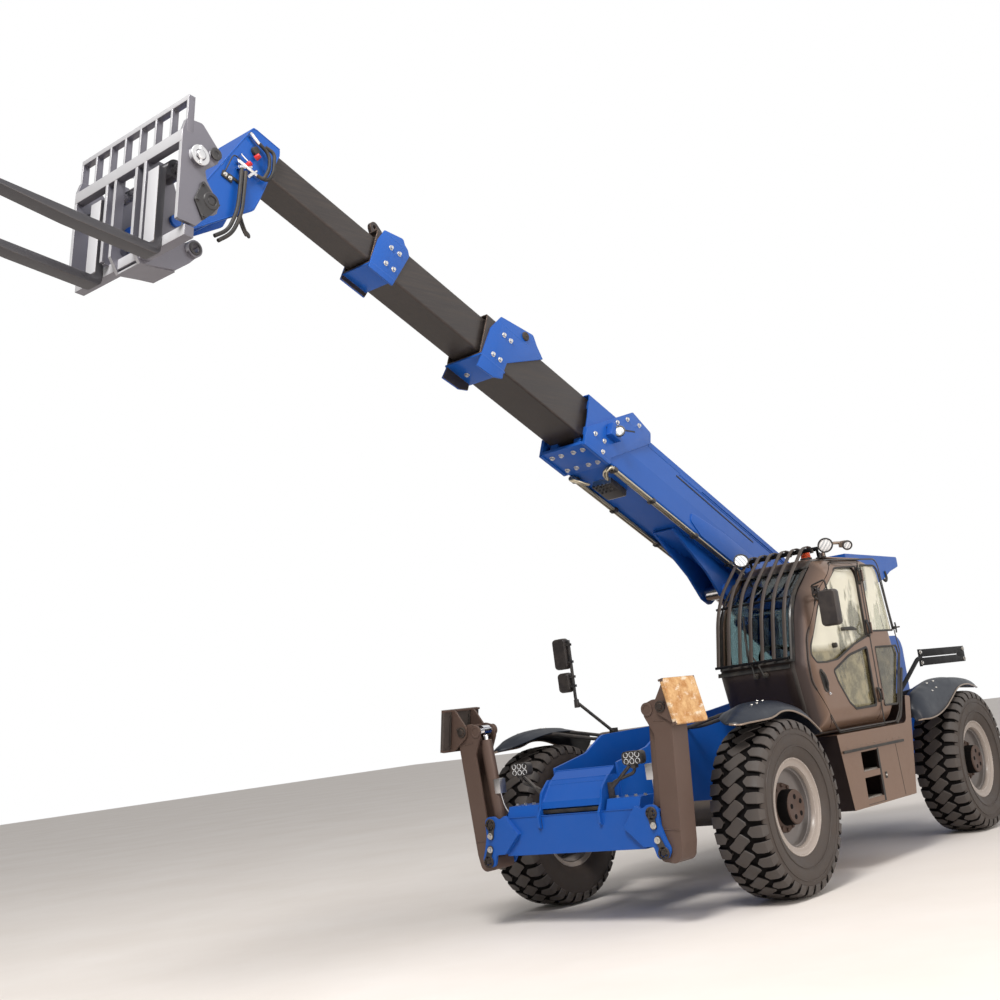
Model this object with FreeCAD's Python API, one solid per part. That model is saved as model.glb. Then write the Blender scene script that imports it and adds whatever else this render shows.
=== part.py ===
import FreeCAD, Part
import math
import os

# Telescopic handler with a four-stage boom, front stabilisers and a side cab.
# Millimetres. X runs forward, Y to the left (cab side), Z up.
# Everything is drawn with X = 0 on the front axle and Y = 0 on the boom's plane, and
# moved to the middle of the machine's own box when it is written out.

V = FreeCAD.Vector

# Wheels and axles
WHEELBASE = 3600.0
HALF_TRACK = 1035.0
TYRE_RADIUS = 640.0
TYRE_WIDTH = 420.0
RIM_FLANGE_RADIUS = 352.0
RIM_WELL_RADIUS = 300.0
RIM_WALL = 14.0
RIM_INSET = 62.0
RIM_DISC_Y = 40.0
RIM_OPENING_RADIUS = 275.0
HUB_RADIUS = 125.0
HUB_INNER_Y = -104.0
HUB_END_Y = 155.0
HUB_HOLE_CIRCLE = 74.0
HUB_HOLE_RADIUS = 17.0
KNUCKLE_RADIUS = 105.0
STEER_ROOM = 135.0
KINGPIN_Y = 790.0
AXLE_TUBE_RADIUS = 95.0
FORK_ARM_Z = 112.0
FORK_ARM = 24.0

# Chassis side plates, boom trough, rear tower and counterweight
TROUGH_HALF = 275.0
FRAME_PLATE = 20.0
FRAME_FRONT_X = 878.0
FRAME_NOSE_TOP = 1121.0
FRAME_BOTTOM = 560.0
TOWER_RADIUS = 230.0
TOWER_REAR_X = -WHEELBASE - 860.0
COUNTERWEIGHT_DEPTH = 300.0
HITCH_X = TOWER_REAR_X - 345.0
HITCH_Z = 700.0
HITCH_BORE = 16.0

# Gearbox, engine and the hood over it, placed between the axles
GEARBOX_REAR_X = -WHEELBASE / 2.0 - 200.0
GEARBOX_FRONT_X = -WHEELBASE / 2.0 + 300.0
HOOD_FRONT_X = -TYRE_RADIUS - STEER_ROOM
HOOD_REAR_X = -WHEELBASE + TYRE_RADIUS + 440.0
HOOD_TOP = 1320.0
ENGINE_FRONT_X = HOOD_FRONT_X - 350.0
ENGINE_REAR_X = HOOD_REAR_X + 70.0

# Front beam and its stabiliser ears
BEAM_FACE_X = 1132.0
BEAM_DEPTH = 250.0
BEAM_HALF = 620.0
BEAM_BOTTOM = 530.0
BEAM_TOP = 800.0
HOOD_HALF = 264.0
EAR_PLATE = 22.0
EAR_GAP = 8.0
EAR_OUTLINE = [
    (472.0, 684.0), (587.0, 823.0), (645.0, 797.0, 40.0), (690.0, 826.0, 40.0), (775.0, 822.0, 48.0),
    (776.0, 690.0, 60.0), (806.0, 590.0, 60.0), (838.0, 520.0, 45.0), (800.0, 455.0, 45.0),
    (725.0, 462.0, 45.0), (702.0, 545.0, 20.0), (BEAM_HALF, 546.0),
]
LEG_PIN_Y = 780.0
LEG_PIN_Z = 500.0
RAM_PIN_Y = 723.0
RAM_PIN_Z = 768.0
PIN_RADIUS = 25.0

# Stabiliser leg, drawn upright and then leaned outward
LEG_DEPTH = 196.0
LEG_WIDTH = 145.0
LEG_INSET = -20.0
LEG_LEAN = 4.1
LEG_CENTRE_X = 1040.0
FOOT_PIN_U = 60.0
FOOT_PIN_V = 977.0
LEG_RAM_U = -63.0
LEG_RAM_V = 960.0
LEG_ROD_RADIUS = 26.0
LEG_BARREL_RADIUS = 47.0
LEG_EYE_RADIUS = 42.0
LEG_CHEEK = 16.0
FOOT_LENGTH = 410.0
FOOT_HEIGHT = 322.0
FOOT_PLATE = 22.0
FOOT_REACH = 136.0
FOOT_TILT = 11.3

# Boom pivot and telescopic sections, as widths and heights about the pivot line
BOOM_PIVOT_X = -WHEELBASE - 650.0
BOOM_PIVOT_Z = 1600.0
BOOM_ANGLE = 24.8
BOOM_PIN_RADIUS = 45.0
TOWER_FRONT_X = BOOM_PIVOT_X + 330.0
BOOM_WALL = 9.0
CREASE_H = -55.0
OUTER_WIDTH = 428.0
SECOND_WIDTH = OUTER_WIDTH - 103.0
THIRD_WIDTH = SECOND_WIDTH - 66.0
FOURTH_WIDTH = THIRD_WIDTH - 41.0
SECTIONS = {
    "outer": {"width": OUTER_WIDTH, "low": -276.0, "high": 169.0, "tail": -330.0, "mouth": 5232.0, "lean": 14.0},
    "second": {"width": SECOND_WIDTH, "low": -202.0, "high": 149.0, "tail": 1250.0, "mouth": 6440.0, "lean": 0.0},
    "third": {"width": THIRD_WIDTH, "low": -164.0, "high": 121.0, "tail": 2350.0, "mouth": 7560.0, "lean": 0.0},
    "fourth": {"width": FOURTH_WIDTH, "low": -138.0, "high": 58.0, "tail": 3450.0, "mouth": 8500.0, "lean": 0.0},
}
COLLAR_PLATE = 12.0
CHAIN_RISE = 36.0
RAIL_REAR_S = 1200.0
PIPE_RADIUS = 11.0

# Shares of the outer section's length between the ram's eye and the mouth
GUSSET_SHARE = 0.377
VALVE_SHARES = (0.33, 0.233)

# Mouth collars as (distance from the mouth, height, corner radius)
COLLAR_ONE = [
    (0.0, -303.0), (0.0, -146.0), (-534.0, 306.0, 20.0), (-800.0, 262.0, 20.0), (-816.0, 169.0),
    (-330.0, -246.0), (-326.0, -303.0),
]
COLLAR_TWO = [
    (-133.0, 206.0, 10.0), (-495.0, 278.0, 30.0), (-555.0, 214.0, 20.0), (-642.0, 149.0), (-626.0, 137.0),
    (-273.0, -123.0), (-257.0, -205.0), (-257.0, -270.0), (-167.0, -313.0), (12.0, -323.0), (-7.0, -234.0),
    (-51.0, 57.0),
]
COLLAR_THREE = [
    (-50.0, 139.0), (-221.0, 189.0, 20.0), (-245.0, 155.0), (-281.0, 136.0), (-307.0, 96.0),
    (-223.0, -214.0), (6.0, -215.0), (-15.0, 35.0),
]
SIDE_PATCH = [
    (2300.0, -270.0), (2300.0, -60.0, 60.0), (3200.0, -75.0, 200.0), (3733.0, -130.0, 30.0),
    (3733.0, -210.0, 30.0), (3563.0, -270.0),
]

# Boom head and its nose pin, in boom coordinates
NOSE_S = 9006.0
NOSE_H = -958.0
HEAD_HALF = 160.0
HEAD_PLATE = 16.0
NOSE_PIN_RADIUS = 35.0
HEAD_TOP = 62.0
HEAD_FRONT = [(8475.0, HEAD_TOP, 20.0), (8698.0, HEAD_TOP, 20.0), (8883.0, -533.0, 100.0)]
HEAD_BACK = [(8846.0, -867.0, 60.0), (8520.0, -480.0, 40.0), (8501.0, -368.0), (8463.0, 15.0, 10.0)]
HEAD_BELLY_END = (8760.0, -757.0)

# Lift ram, eye in boom coordinates and base pin on the frame
LIFT_EYE_S = 2950.0
LIFT_EYE_H = -480.0
LIFT_BASE_X = BOOM_PIVOT_X + 350.0
LIFT_BASE_Z = 960.0
LIFT_BARREL_RADIUS = 85.0
LIFT_BARREL_LENGTH = 2420.0
LIFT_ROD_RADIUS = 50.0
LIFT_ROD_INNER = 480.0
LIFT_EYE_RADIUS = 65.0
LIFT_PIN_RADIUS = 40.0
GUSSET_IN_Y = 85.0

# Fork carriage, pitched about the nose pin
CARRIAGE_PITCH = 10.0
CARRIAGE_HALF = 525.0
CARRIAGE_PLATE = 25.0
CARRIAGE_FRONT = 209.0
CROSSBAR_BACK = 160.0
BACKREST_TOP = 600.0
BACKREST_BARS = 8
END_PLATE = [
    (209.0, -184.0, 10.0), (209.0, 370.0, 10.0), (188.0, 445.0, 20.0), (82.0, 460.0, 30.0),
    (-60.0, 324.0, 40.0), (-35.0, 254.0, 20.0), (46.0, 180.0, 25.0), (30.0, 121.0, 30.0),
    (-57.0, 11.0, 40.0), (-50.0, -57.0, 20.0), (-5.0, -74.0, 10.0), (83.0, -182.0, 10.0),
]
CENTRE_PLATE = [
    (209.0, 340.0), (209.0, -200.0), (150.0, -291.0), (-90.0, -243.0), (-180.0, -164.0, 40.0),
    (-235.0, -100.0, 30.0), (-175.0, -25.0, 40.0), (-56.0, -103.0), (50.0, -183.0, 30.0),
    (150.0, -170.0, 20.0), (150.0, 340.0),
]
FORK_Y = 280.0
FORK_WIDTH = 100.0
FORK_THICK = 50.0
FORK_LENGTH = 1200.0
FORK_TOP = -275.0
FORK_FACE = 214.0
SHAFT_A = 100.0
SHAFT_V = 240.0
SHAFT_RADIUS = 32.0
COUPLER_A = -197.0
COUPLER_V = -70.0
ARM_Y = 103.0

# Cab
CAB_OUT_Y = 1150.0
CAB_IN_Y = 318.0
CAB_WALL = 45.0
CAB_FLOOR_Z = 1090.0
CAB_ROOF_Z = 2525.0
CAB_ROUND = 200.0
CAB_ROUND_REAR_X = -1250.0
SIDE_REACH = 90.0
WINDSCREEN_INSET = 95.0
GLASS = 6.0
PANE_DEPTH = 20.0
DOOR_GAP = 6.0
HINGE_X = -1822.0
HINGE_Y = CAB_OUT_Y + 18.0
HINGE_RADIUS = 14.0
HINGE_ZS = (1347.0, 1906.0, 2354.0)
DOOR_MIRROR_IN_Y = 1232.0
DOOR_MIRROR_OUT_Y = 1392.0

# Cab outlines as (x, z, corner radius): side view, then the panes and the door
CAB_SIDE = [
    (-700.0, CAB_FLOOR_Z, 30.0), (-560.0, 1650.0, 260.0), (-700.0, 2180.0, 500.0), (-1150.0, 2510.0, 160.0),
    (-1400.0, CAB_ROOF_Z, 60.0), (-2235.0, CAB_ROOF_Z, 120.0), (-2312.0, 2080.0, 900.0),
    (-2400.0, 1690.0, 60.0), (-2170.0, 1180.0, 100.0), (-2060.0, CAB_FLOOR_Z, 60.0),
]
WINDSCREEN_CUT = [(-300.0, 1690.0), (-300.0, 2440.0), (-1130.0, 2440.0), (-900.0, 1690.0)]
DOOR_OUTLINE = [
    (HINGE_X, 1100.0), (-962.0, 1100.0, 60.0), (-692.0, 1500.0, 250.0), (-668.0, 1660.0, 250.0),
    (-720.0, 1880.0, 300.0), (-960.0, 2200.0, 500.0), (-1400.0, 2478.0, 160.0), (HINGE_X, 2478.0),
]
DOOR_UPPER = [
    (-1768.0, 1838.0, 20.0), (-1500.0, 1778.0, 400.0), (-1150.0, 1668.0, 100.0), (-950.0, 1652.0, 60.0),
    (-770.0, 1655.0, 60.0), (-715.0, 1720.0, 60.0), (-735.0, 1800.0, 180.0), (-985.0, 2160.0, 500.0),
    (-1400.0, 2425.0, 160.0), (-1768.0, 2440.0, 20.0),
]
DOOR_LOWER = [
    (-1730.0, 1756.0, 30.0), (-1730.0, 1260.0, 30.0), (-1339.0, 1256.0, 60.0), (-1236.0, 1311.0, 80.0),
    (-1086.0, 1491.0, 200.0), (-1040.0, 1585.0, 20.0), (-1369.0, 1702.0, 500.0),
]
REAR_QUARTER = [
    (-1862.0, 2452.0, 20.0), (-2200.0, 2452.0, 110.0), (-2280.0, 2060.0, 600.0), (-2318.0, 1875.0, 25.0),
    (-1862.0, 1877.0, 20.0),
]
LOW_QUARTER = [
    (-1880.0, 1748.0, 20.0), (-2322.0, 1748.0, 30.0), (-2350.0, 1672.0, 40.0), (-2152.0, 1246.0, 30.0),
    (-1880.0, 1248.0, 20.0),
]
RIGHT_PANE = [
    (-820.0, 1500.0, 60.0), (-860.0, 2100.0, 150.0), (-1150.0, 2380.0, 80.0), (-2130.0, 2400.0, 80.0),
    (-2270.0, 1720.0, 60.0), (-2150.0, 1500.0, 60.0),
]

# Far mirror on the engine hood: foot, post and head
MIRROR_FOOT_X = HOOD_FRONT_X - 250.0
MIRROR_FOOT_Y = -820.0
MIRROR_POST_X = -530.0
MIRROR_POST_Y = -1050.0
MIRROR_HEAD_Y = (-1150.0, -1060.0)
MIRROR_HEAD_Z = (1700.0, 2170.0)

# Seat, console and steering wheel in the cab
SEAT_Y = (480.0, 980.0)
SEAT_TOP_Z = 1540.0
SEAT_BACK_Z = 2150.0
STEERING_HUB = (-1000.0, 730.0, 1712.0)
STEERING_AXIS = (-0.6, 0.0, 0.75)
STEERING_RADIUS = 190.0
STEERING_RIM = 26.0

# Housing behind the cab and the slotted bracket over the rear mudguard
HOUSING_Y = (420.0, 900.0)
HOUSING = [
    (-2150.0, 2600.0), (-3260.0, 2590.0, 20.0), (-3260.0, 2500.0, 20.0), (-3060.0, 2450.0),
    (-2900.0, 2380.0), (-2200.0, 2200.0),
]
BRACKET_Y = (1085.0, 1115.0)
BRACKET_REAR_X = -3980.0
BRACKET_FRONT_X = -2890.0
BRACKET_ZS = (1550.0, 1650.0)
BRACKET_BAR = 40.0

# Work lamps beside the front plates: body's Y and Z spans
LAMP_Y = (430.0, 596.0)
LAMP_Z = (1095.0, 1190.0)

# Guard of flat bars before the windscreen; tubes as (x, z, radius)
GUARD_OFFSET = 45.0
GUARD_BAR = 8.0
GUARD_BARS = 7
GUARD_BAR_WIDE = 40.0
GUARD_TUBES = [
    (-530.0, 1722.0, 10.0), (-1230.0, CAB_ROOF_Z + 20.0, 17.0), (-1320.0, CAB_ROOF_Z + 26.0, 17.0),
]

# Mudguards: crown and outer lip of each as (x from its axle, z, corner radius)
FENDER_IN_Y = HALF_TRACK - 225.0
FENDER_OUT_Y = HALF_TRACK + 150.0
FENDER_SHEET = 8.0
FRONT_CROWN = [
    (650.0, 1282.0, 0.0), (520.0, 1348.0, 150.0), (320.0, 1408.0, 300.0), (100.0, 1416.0, 600.0),
    (-140.0, 1398.0, 600.0), (-330.0, 1340.0, 400.0), (-500.0, 1235.0, 300.0), (-650.0, 1106.0, 0.0),
]
FRONT_LIP = [
    (655.0, 1264.0, 0.0), (310.0, 1272.0, 200.0), (130.0, 1305.0, 200.0), (-60.0, 1325.0, 400.0),
    (-240.0, 1315.0, 200.0), (-400.0, 1250.0, 200.0), (-640.0, 1090.0, 0.0),
]
REAR_CROWN = [
    (1060.0, 1150.0, 0.0), (1045.0, 1290.0, 60.0), (677.0, 1392.0, 200.0), (381.0, 1421.0, 400.0),
    (190.0, 1416.0, 600.0), (-169.0, 1382.0, 600.0), (-480.0, 1297.0, 0.0),
]
REAR_LIP = [
    (1065.0, 1075.0, 0.0), (785.0, 1089.0, 200.0), (580.0, 1135.0, 200.0), (430.0, 1225.0, 150.0),
    (269.0, 1300.0, 150.0), (7.0, 1322.0, 300.0), (-238.0, 1310.0, 300.0), (-480.0, 1270.0, 0.0),
]
FENDERS = [(0.0, FRONT_CROWN, FRONT_LIP), (-WHEELBASE, REAR_CROWN, REAR_LIP)]

# Step cabinet below the cab
CABINET_OUT_Y = 1150.0
CABINET_IN_Y = 480.0
CABINET_BOTTOM = 485.0
CABINET_FRONT_X = -1010.0
CABINET_BACK_X = -2210.0
CABINET_POST_Z = 1310.0
STEPS = ((545.0, 710.0), (760.0, 915.0))

SEAT_GAP = 0.3


def box(x0, x1, y0, y1, z0, z1):
    return Part.makeBox(x1 - x0, y1 - y0, z1 - z0, V(x0, y0, z0))


def rod(start, end, radius):
    a = V(*start)
    b = V(*end)
    return Part.makeCylinder(radius, (b - a).Length, a, b - a)


def rod_y(x, z, y0, y1, radius):
    return rod((x, y0, z), (x, y1, z), radius)


def rod_x(y, z, x0, x1, radius):
    return rod((x0, y, z), (x1, y, z), radius)


def fuse(shapes):
    whole = shapes[0]
    if len(shapes) > 1:
        whole = shapes[0].multiFuse(list(shapes[1:]))
    return whole.removeSplitter()


def polygon(points):
    """A closed wire through points; a point may carry a corner radius."""
    verts = [V(*p[:3]) for p in points]
    radii = [p[3] if len(p) > 3 else 0.0 for p in points]
    edges = []
    ends = []
    count = len(verts)
    for i in range(count):
        here, before, after = verts[i], verts[i - 1], verts[(i + 1) % count]
        radius = radii[i]
        if radius <= 0.0:
            ends.append((here, here))
            continue
        to_before = (before - here).normalize()
        to_after = (after - here).normalize()
        half = to_before.getAngle(to_after) / 2.0
        reach = radius / math.tan(half)
        start = here + to_before * reach
        stop = here + to_after * reach
        middle = here + (to_before + to_after).normalize() * (radius / math.sin(half) - radius)
        edges.append(Part.Arc(start, middle, stop).toShape())
        ends.append((start, stop))
    for i in range(count):
        a = ends[i][1]
        b = ends[(i + 1) % count][0]
        if (b - a).Length > 1e-6:
            edges.append(Part.LineSegment(a, b).toShape())
    return Part.Wire(Part.__sortEdges__(edges))


def prism_xz(points, y0, y1):
    """Solid between y0 and y1 with its outline in X and Z."""
    wire = polygon([(p[0], y0, p[1]) + tuple(p[2:3]) for p in points])
    return Part.Face(wire).extrude(V(0, y1 - y0, 0))


def prism_yz(points, x0, x1):
    wire = polygon([(x0, p[0], p[1]) + tuple(p[2:3]) for p in points])
    return Part.Face(wire).extrude(V(x1 - x0, 0, 0))


def prism_from(wire, y0, y1):
    """Solid between y0 and y1 from a closed wire drawn at y = 0."""
    placed = wire.copy()
    placed.translate(V(0, y0, 0))
    return Part.Face(placed).extrude(V(0, y1 - y0, 0))


def offsets(points, mouth):
    """Outline points given behind a section's mouth, as places along the boom."""
    return [(mouth + p[0],) + tuple(p[1:]) for p in points]


def mirrored(shape):
    return shape.mirror(V(0, 0, 0), V(0, 1, 0))


def both_sides(shape):
    return [shape, mirrored(shape)]


def turned(shape, centre, axis, degrees):
    copy = shape.copy()
    copy.rotate(V(*centre), V(*axis), degrees)
    return copy


def moved(shape, x, y, z):
    copy = shape.copy()
    copy.translate(V(x, y, z))
    return copy


def on_boom(shape):
    """From boom coordinates (s, y, h) to the machine's."""
    raised = turned(shape, (0, 0, 0), (0, 1, 0), -BOOM_ANGLE)
    return moved(raised, BOOM_PIVOT_X, 0, BOOM_PIVOT_Z)


def boom_point(s, y, h):
    a = math.radians(BOOM_ANGLE)
    x = BOOM_PIVOT_X + s * math.cos(a) - h * math.sin(a)
    z = BOOM_PIVOT_Z + s * math.sin(a) + h * math.cos(a)
    return (x, y, z)


def on_carriage(shape):
    """From carriage coordinates about the nose pin to the machine's."""
    nose = boom_point(NOSE_S, 0, NOSE_H)
    pitched = turned(shape, (0, 0, 0), (0, 1, 0), -CARRIAGE_PITCH)
    return moved(pitched, *nose)


# Wheels, knuckles and axles

def tyre():
    half = TYRE_WIDTH / 2.0
    inner = RIM_WELL_RADIUS + RIM_WALL
    bead = half - RIM_INSET - SEAT_GAP
    side = [(bead, inner), (bead, RIM_FLANGE_RADIUS + SEAT_GAP), (half, 500.0),
            (half - 14.0, TYRE_RADIUS - 38.0), (half - 62.0, TYRE_RADIUS)]
    outline = [V(0, y, r) for y, r in side]
    outline += [V(0, -y, r) for y, r in reversed(side)]
    wire = Part.makePolygon(outline + [outline[0]])
    return Part.Face(wire).revolve(V(0, 0, 0), V(0, 1, 0), 360)


def rim():
    """Deep-dished rim, its open side towards +Y."""
    half = TYRE_WIDTH / 2.0 - RIM_INSET
    well = RIM_WELL_RADIUS + RIM_WALL - SEAT_GAP
    lip = RIM_FLANGE_RADIUS
    edge = half + RIM_WALL
    points = [
        (edge, lip - RIM_WALL), (edge, lip), (half, lip), (half, well), (-half, well), (-half, lip),
        (-edge, lip), (-edge, lip - RIM_WALL), (-half + RIM_WALL, well - RIM_WALL),
        (RIM_DISC_Y - RIM_WALL, well - RIM_WALL), (RIM_DISC_Y - RIM_WALL, HUB_RADIUS - 20.0),
        (RIM_DISC_Y, HUB_RADIUS - 20.0), (RIM_DISC_Y, RIM_OPENING_RADIUS),
        (half - 10.0, RIM_OPENING_RADIUS), (half, RIM_OPENING_RADIUS + 18.0),
    ]
    outline = [V(0, y, r) for y, r in points]
    wire = Part.makePolygon(outline + [outline[0]])
    return Part.Face(wire).revolve(V(0, 0, 0), V(0, 1, 0), 360)


def hub():
    """Planetary hub end with its four plug holes."""
    body = rod_y(0, 0, HUB_INNER_Y, HUB_END_Y, HUB_RADIUS)
    for i in range(4):
        angle = math.radians(45.0 + 90.0 * i)
        x = HUB_HOLE_CIRCLE * math.cos(angle)
        z = HUB_HOLE_CIRCLE * math.sin(angle)
        body = body.cut(rod_y(x, z, HUB_END_Y - 18.0, HUB_END_Y + 1.0, HUB_HOLE_RADIUS))
    return body


def wheel(front, left):
    x = 0.0 if front else -WHEELBASE
    shapes = [tyre(), fuse([rim(), hub()])]
    placed = []
    for shape in shapes:
        shape = shape if left else mirrored(shape)
        placed.append(moved(shape, x, HALF_TRACK if left else -HALF_TRACK, TYRE_RADIUS))
    return Part.makeCompound(placed)


def knuckle(front, left):
    """Steered end of the axle on its kingpin, with the hub's spindle."""
    half = FORK_ARM_Z - SEAT_GAP
    post = rod((0, KINGPIN_Y, -half), (0, KINGPIN_Y, half), 60.0)
    drum = rod_y(0, 0, KINGPIN_Y + 72.0, HALF_TRACK - 104.5, KNUCKLE_RADIUS)
    spindle = rod_y(0, 0, KINGPIN_Y, HALF_TRACK - 110.0, 70.0)
    body = fuse([post, drum, spindle])
    body = body if left else mirrored(body)
    return moved(body, 0.0 if front else -WHEELBASE, 0, TYRE_RADIUS)


def axle(x):
    tube = rod_y(0, 0, -KINGPIN_Y + 62.0, KINGPIN_Y - 62.0, AXLE_TUBE_RADIUS)
    diff = rod_x(0, 0, -150.0, 150.0, 185.0)
    parts = [tube, diff]
    for side in (-1.0, 1.0):
        for z in (-FORK_ARM_Z - FORK_ARM, FORK_ARM_Z):
            arm = box(-70.0, 70.0, KINGPIN_Y - 130.0, KINGPIN_Y + 66.0, z, z + FORK_ARM)
            parts.append(arm if side > 0 else mirrored(arm))
        cheek = box(-70.0, 70.0, KINGPIN_Y - 130.0, KINGPIN_Y - 66.0, -FORK_ARM_Z, FORK_ARM_Z)
        parts.append(cheek if side > 0 else mirrored(cheek))
    return moved(fuse(parts), x, 0, TYRE_RADIUS)


def driveline():
    """Both axles, the gearbox between them, the shafts and the engine block."""
    z = TYRE_RADIUS
    shaft = rod((-140.0, 0, z), (-WHEELBASE + 140.0, 0, z), 45.0)
    case = box(GEARBOX_REAR_X, GEARBOX_FRONT_X, -200.0, 200.0, 470.0, 760.0)
    ears = both_sides(box(GEARBOX_REAR_X + 50.0, GEARBOX_FRONT_X - 50.0, 190.0, TROUGH_HALF - SEAT_GAP,
                          650.0, 690.0))
    engine = box(ENGINE_REAR_X, ENGINE_FRONT_X, -960.0, -420.0, 640.0, 1180.0)
    plate_face = -TROUGH_HALF - FRAME_PLATE - SEAT_GAP
    mounts = []
    for x in (ENGINE_REAR_X + 150.0, ENGINE_FRONT_X - 270.0):
        mounts.append(box(x, x + 120.0, -430.0, plate_face, 700.0, 780.0))
    line = fuse([axle(0.0), axle(-WHEELBASE), shaft, case] + ears)
    return Part.makeCompound([line, fuse([engine] + mounts)])


# Frame

def side_plate():
    """Side plate of the frame: low nose, step up behind it, long deck line and rear tower."""
    tower_top = BOOM_PIVOT_Z + TOWER_RADIUS + 70.0
    points = [
        (FRAME_FRONT_X, FRAME_BOTTOM), (FRAME_FRONT_X, FRAME_NOSE_TOP), (465.0, 1196.0, 160.0),
        (225.0, 1316.0, 160.0), (-600.0, 1332.0, 900.0), (-1450.0, 1394.0, 900.0),
        (-1900.0, 1442.0, 400.0), (TOWER_FRONT_X + 600.0, 1500.0, 300.0), (TOWER_FRONT_X, tower_top, 120.0),
        (TOWER_REAR_X, tower_top, 160.0), (TOWER_REAR_X, FRAME_BOTTOM),
    ]
    plate = prism_xz(points, TROUGH_HALF, TROUGH_HALF + FRAME_PLATE)
    bore = rod_y(BOOM_PIVOT_X, BOOM_PIVOT_Z, TROUGH_HALF - 1, TROUGH_HALF + 60, BOOM_PIN_RADIUS)
    boss = rod_y(BOOM_PIVOT_X, BOOM_PIVOT_Z, TROUGH_HALF, TROUGH_HALF + 45.0, 95.0)
    plate = plate.fuse(boss).cut(bore)
    seat = AXLE_TUBE_RADIUS + SEAT_GAP
    for x in (0.0, -WHEELBASE):
        plate = plate.cut(rod_y(x, TYRE_RADIUS, TROUGH_HALF - 1, TROUGH_HALF + 60.0, seat))
        plate = plate.cut(box(x - seat, x + seat, TROUGH_HALF - 1, TROUGH_HALF + 60.0, 500.0, TYRE_RADIUS))
    return plate


def frame_main():
    parts = []
    parts += both_sides(side_plate())
    w = TROUGH_HALF
    floor_top = FRAME_BOTTOM + FRAME_PLATE
    floor = box(TOWER_REAR_X + 20.0, FRAME_FRONT_X, -w, w, FRAME_BOTTOM, floor_top)
    for x in (0.0, -WHEELBASE, (GEARBOX_REAR_X + GEARBOX_FRONT_X) / 2.0):
        floor = floor.cut(box(x - 260.0, x + 260.0, -220.0, 220.0, 500.0, 700.0))
    for x in (0.0, -WHEELBASE):
        floor = floor.cut(box(x - 110.0, x + 110.0, -w, w, 500.0, 700.0))
    parts.append(floor)
    parts.append(box(TOWER_REAR_X, TOWER_REAR_X + 30.0, -w, w, FRAME_BOTTOM, 1150.0))
    for x in (-280.0, 280.0):
        for centre in (0.0, -WHEELBASE):
            cross = box(centre + x - 15.0, centre + x + 15.0, -w, w, FRAME_BOTTOM, 680.0)
            cross = cross.cut(rod_x(0, TYRE_RADIUS, centre + x - 20.0, centre + x + 20.0, 60.0))
            parts.append(cross)
    parts.append(rod_y(BOOM_PIVOT_X, BOOM_PIVOT_Z, -w - 55.0, w + 55.0, BOOM_PIN_RADIUS))
    for y in (-100.0, 100.0):
        parts.append(prism_xz([(LIFT_BASE_X - 160.0, FRAME_BOTTOM), (LIFT_BASE_X - 75.0, LIFT_BASE_Z + 75.0, 60.0),
                               (LIFT_BASE_X + 75.0, LIFT_BASE_Z + 75.0, 60.0),
                               (LIFT_BASE_X + 20.0, FRAME_BOTTOM)], y - 12.0, y + 12.0))
    parts.append(rod_y(LIFT_BASE_X, LIFT_BASE_Z, -125.0, 125.0, LIFT_PIN_RADIUS))
    return fuse(parts)


def counterweight():
    """Cast block behind the tower with the tow hitch's two cheeks."""
    face = TOWER_REAR_X - SEAT_GAP
    back = TOWER_REAR_X - COUNTERWEIGHT_DEPTH
    body = prism_xz([(face, 560.0), (face, 1150.0), (back + 60.0, 1150.0, 60.0), (back, 900.0, 60.0),
                     (back, 620.0, 60.0), (back + 80.0, 560.0, 30.0)], -900.0, 900.0)
    tip = HITCH_X - 45.0
    for y in (-60.0, 40.0):
        body = body.fuse(prism_xz([(back + 20.0, HITCH_Z - 60.0), (back + 20.0, HITCH_Z + 60.0),
                                   (tip, HITCH_Z + 45.0, 40.0), (tip, HITCH_Z - 45.0, 40.0)], y, y + 20.0))
    return body.cut(rod_y(HITCH_X, HITCH_Z, -80.0, 80.0, HITCH_BORE))


def beam_ear(x0, x1):
    """Ear plate with a lobe round each pin and a pointed inner end on the beam's face."""
    return prism_yz(EAR_OUTLINE, x0, x1)


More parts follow.
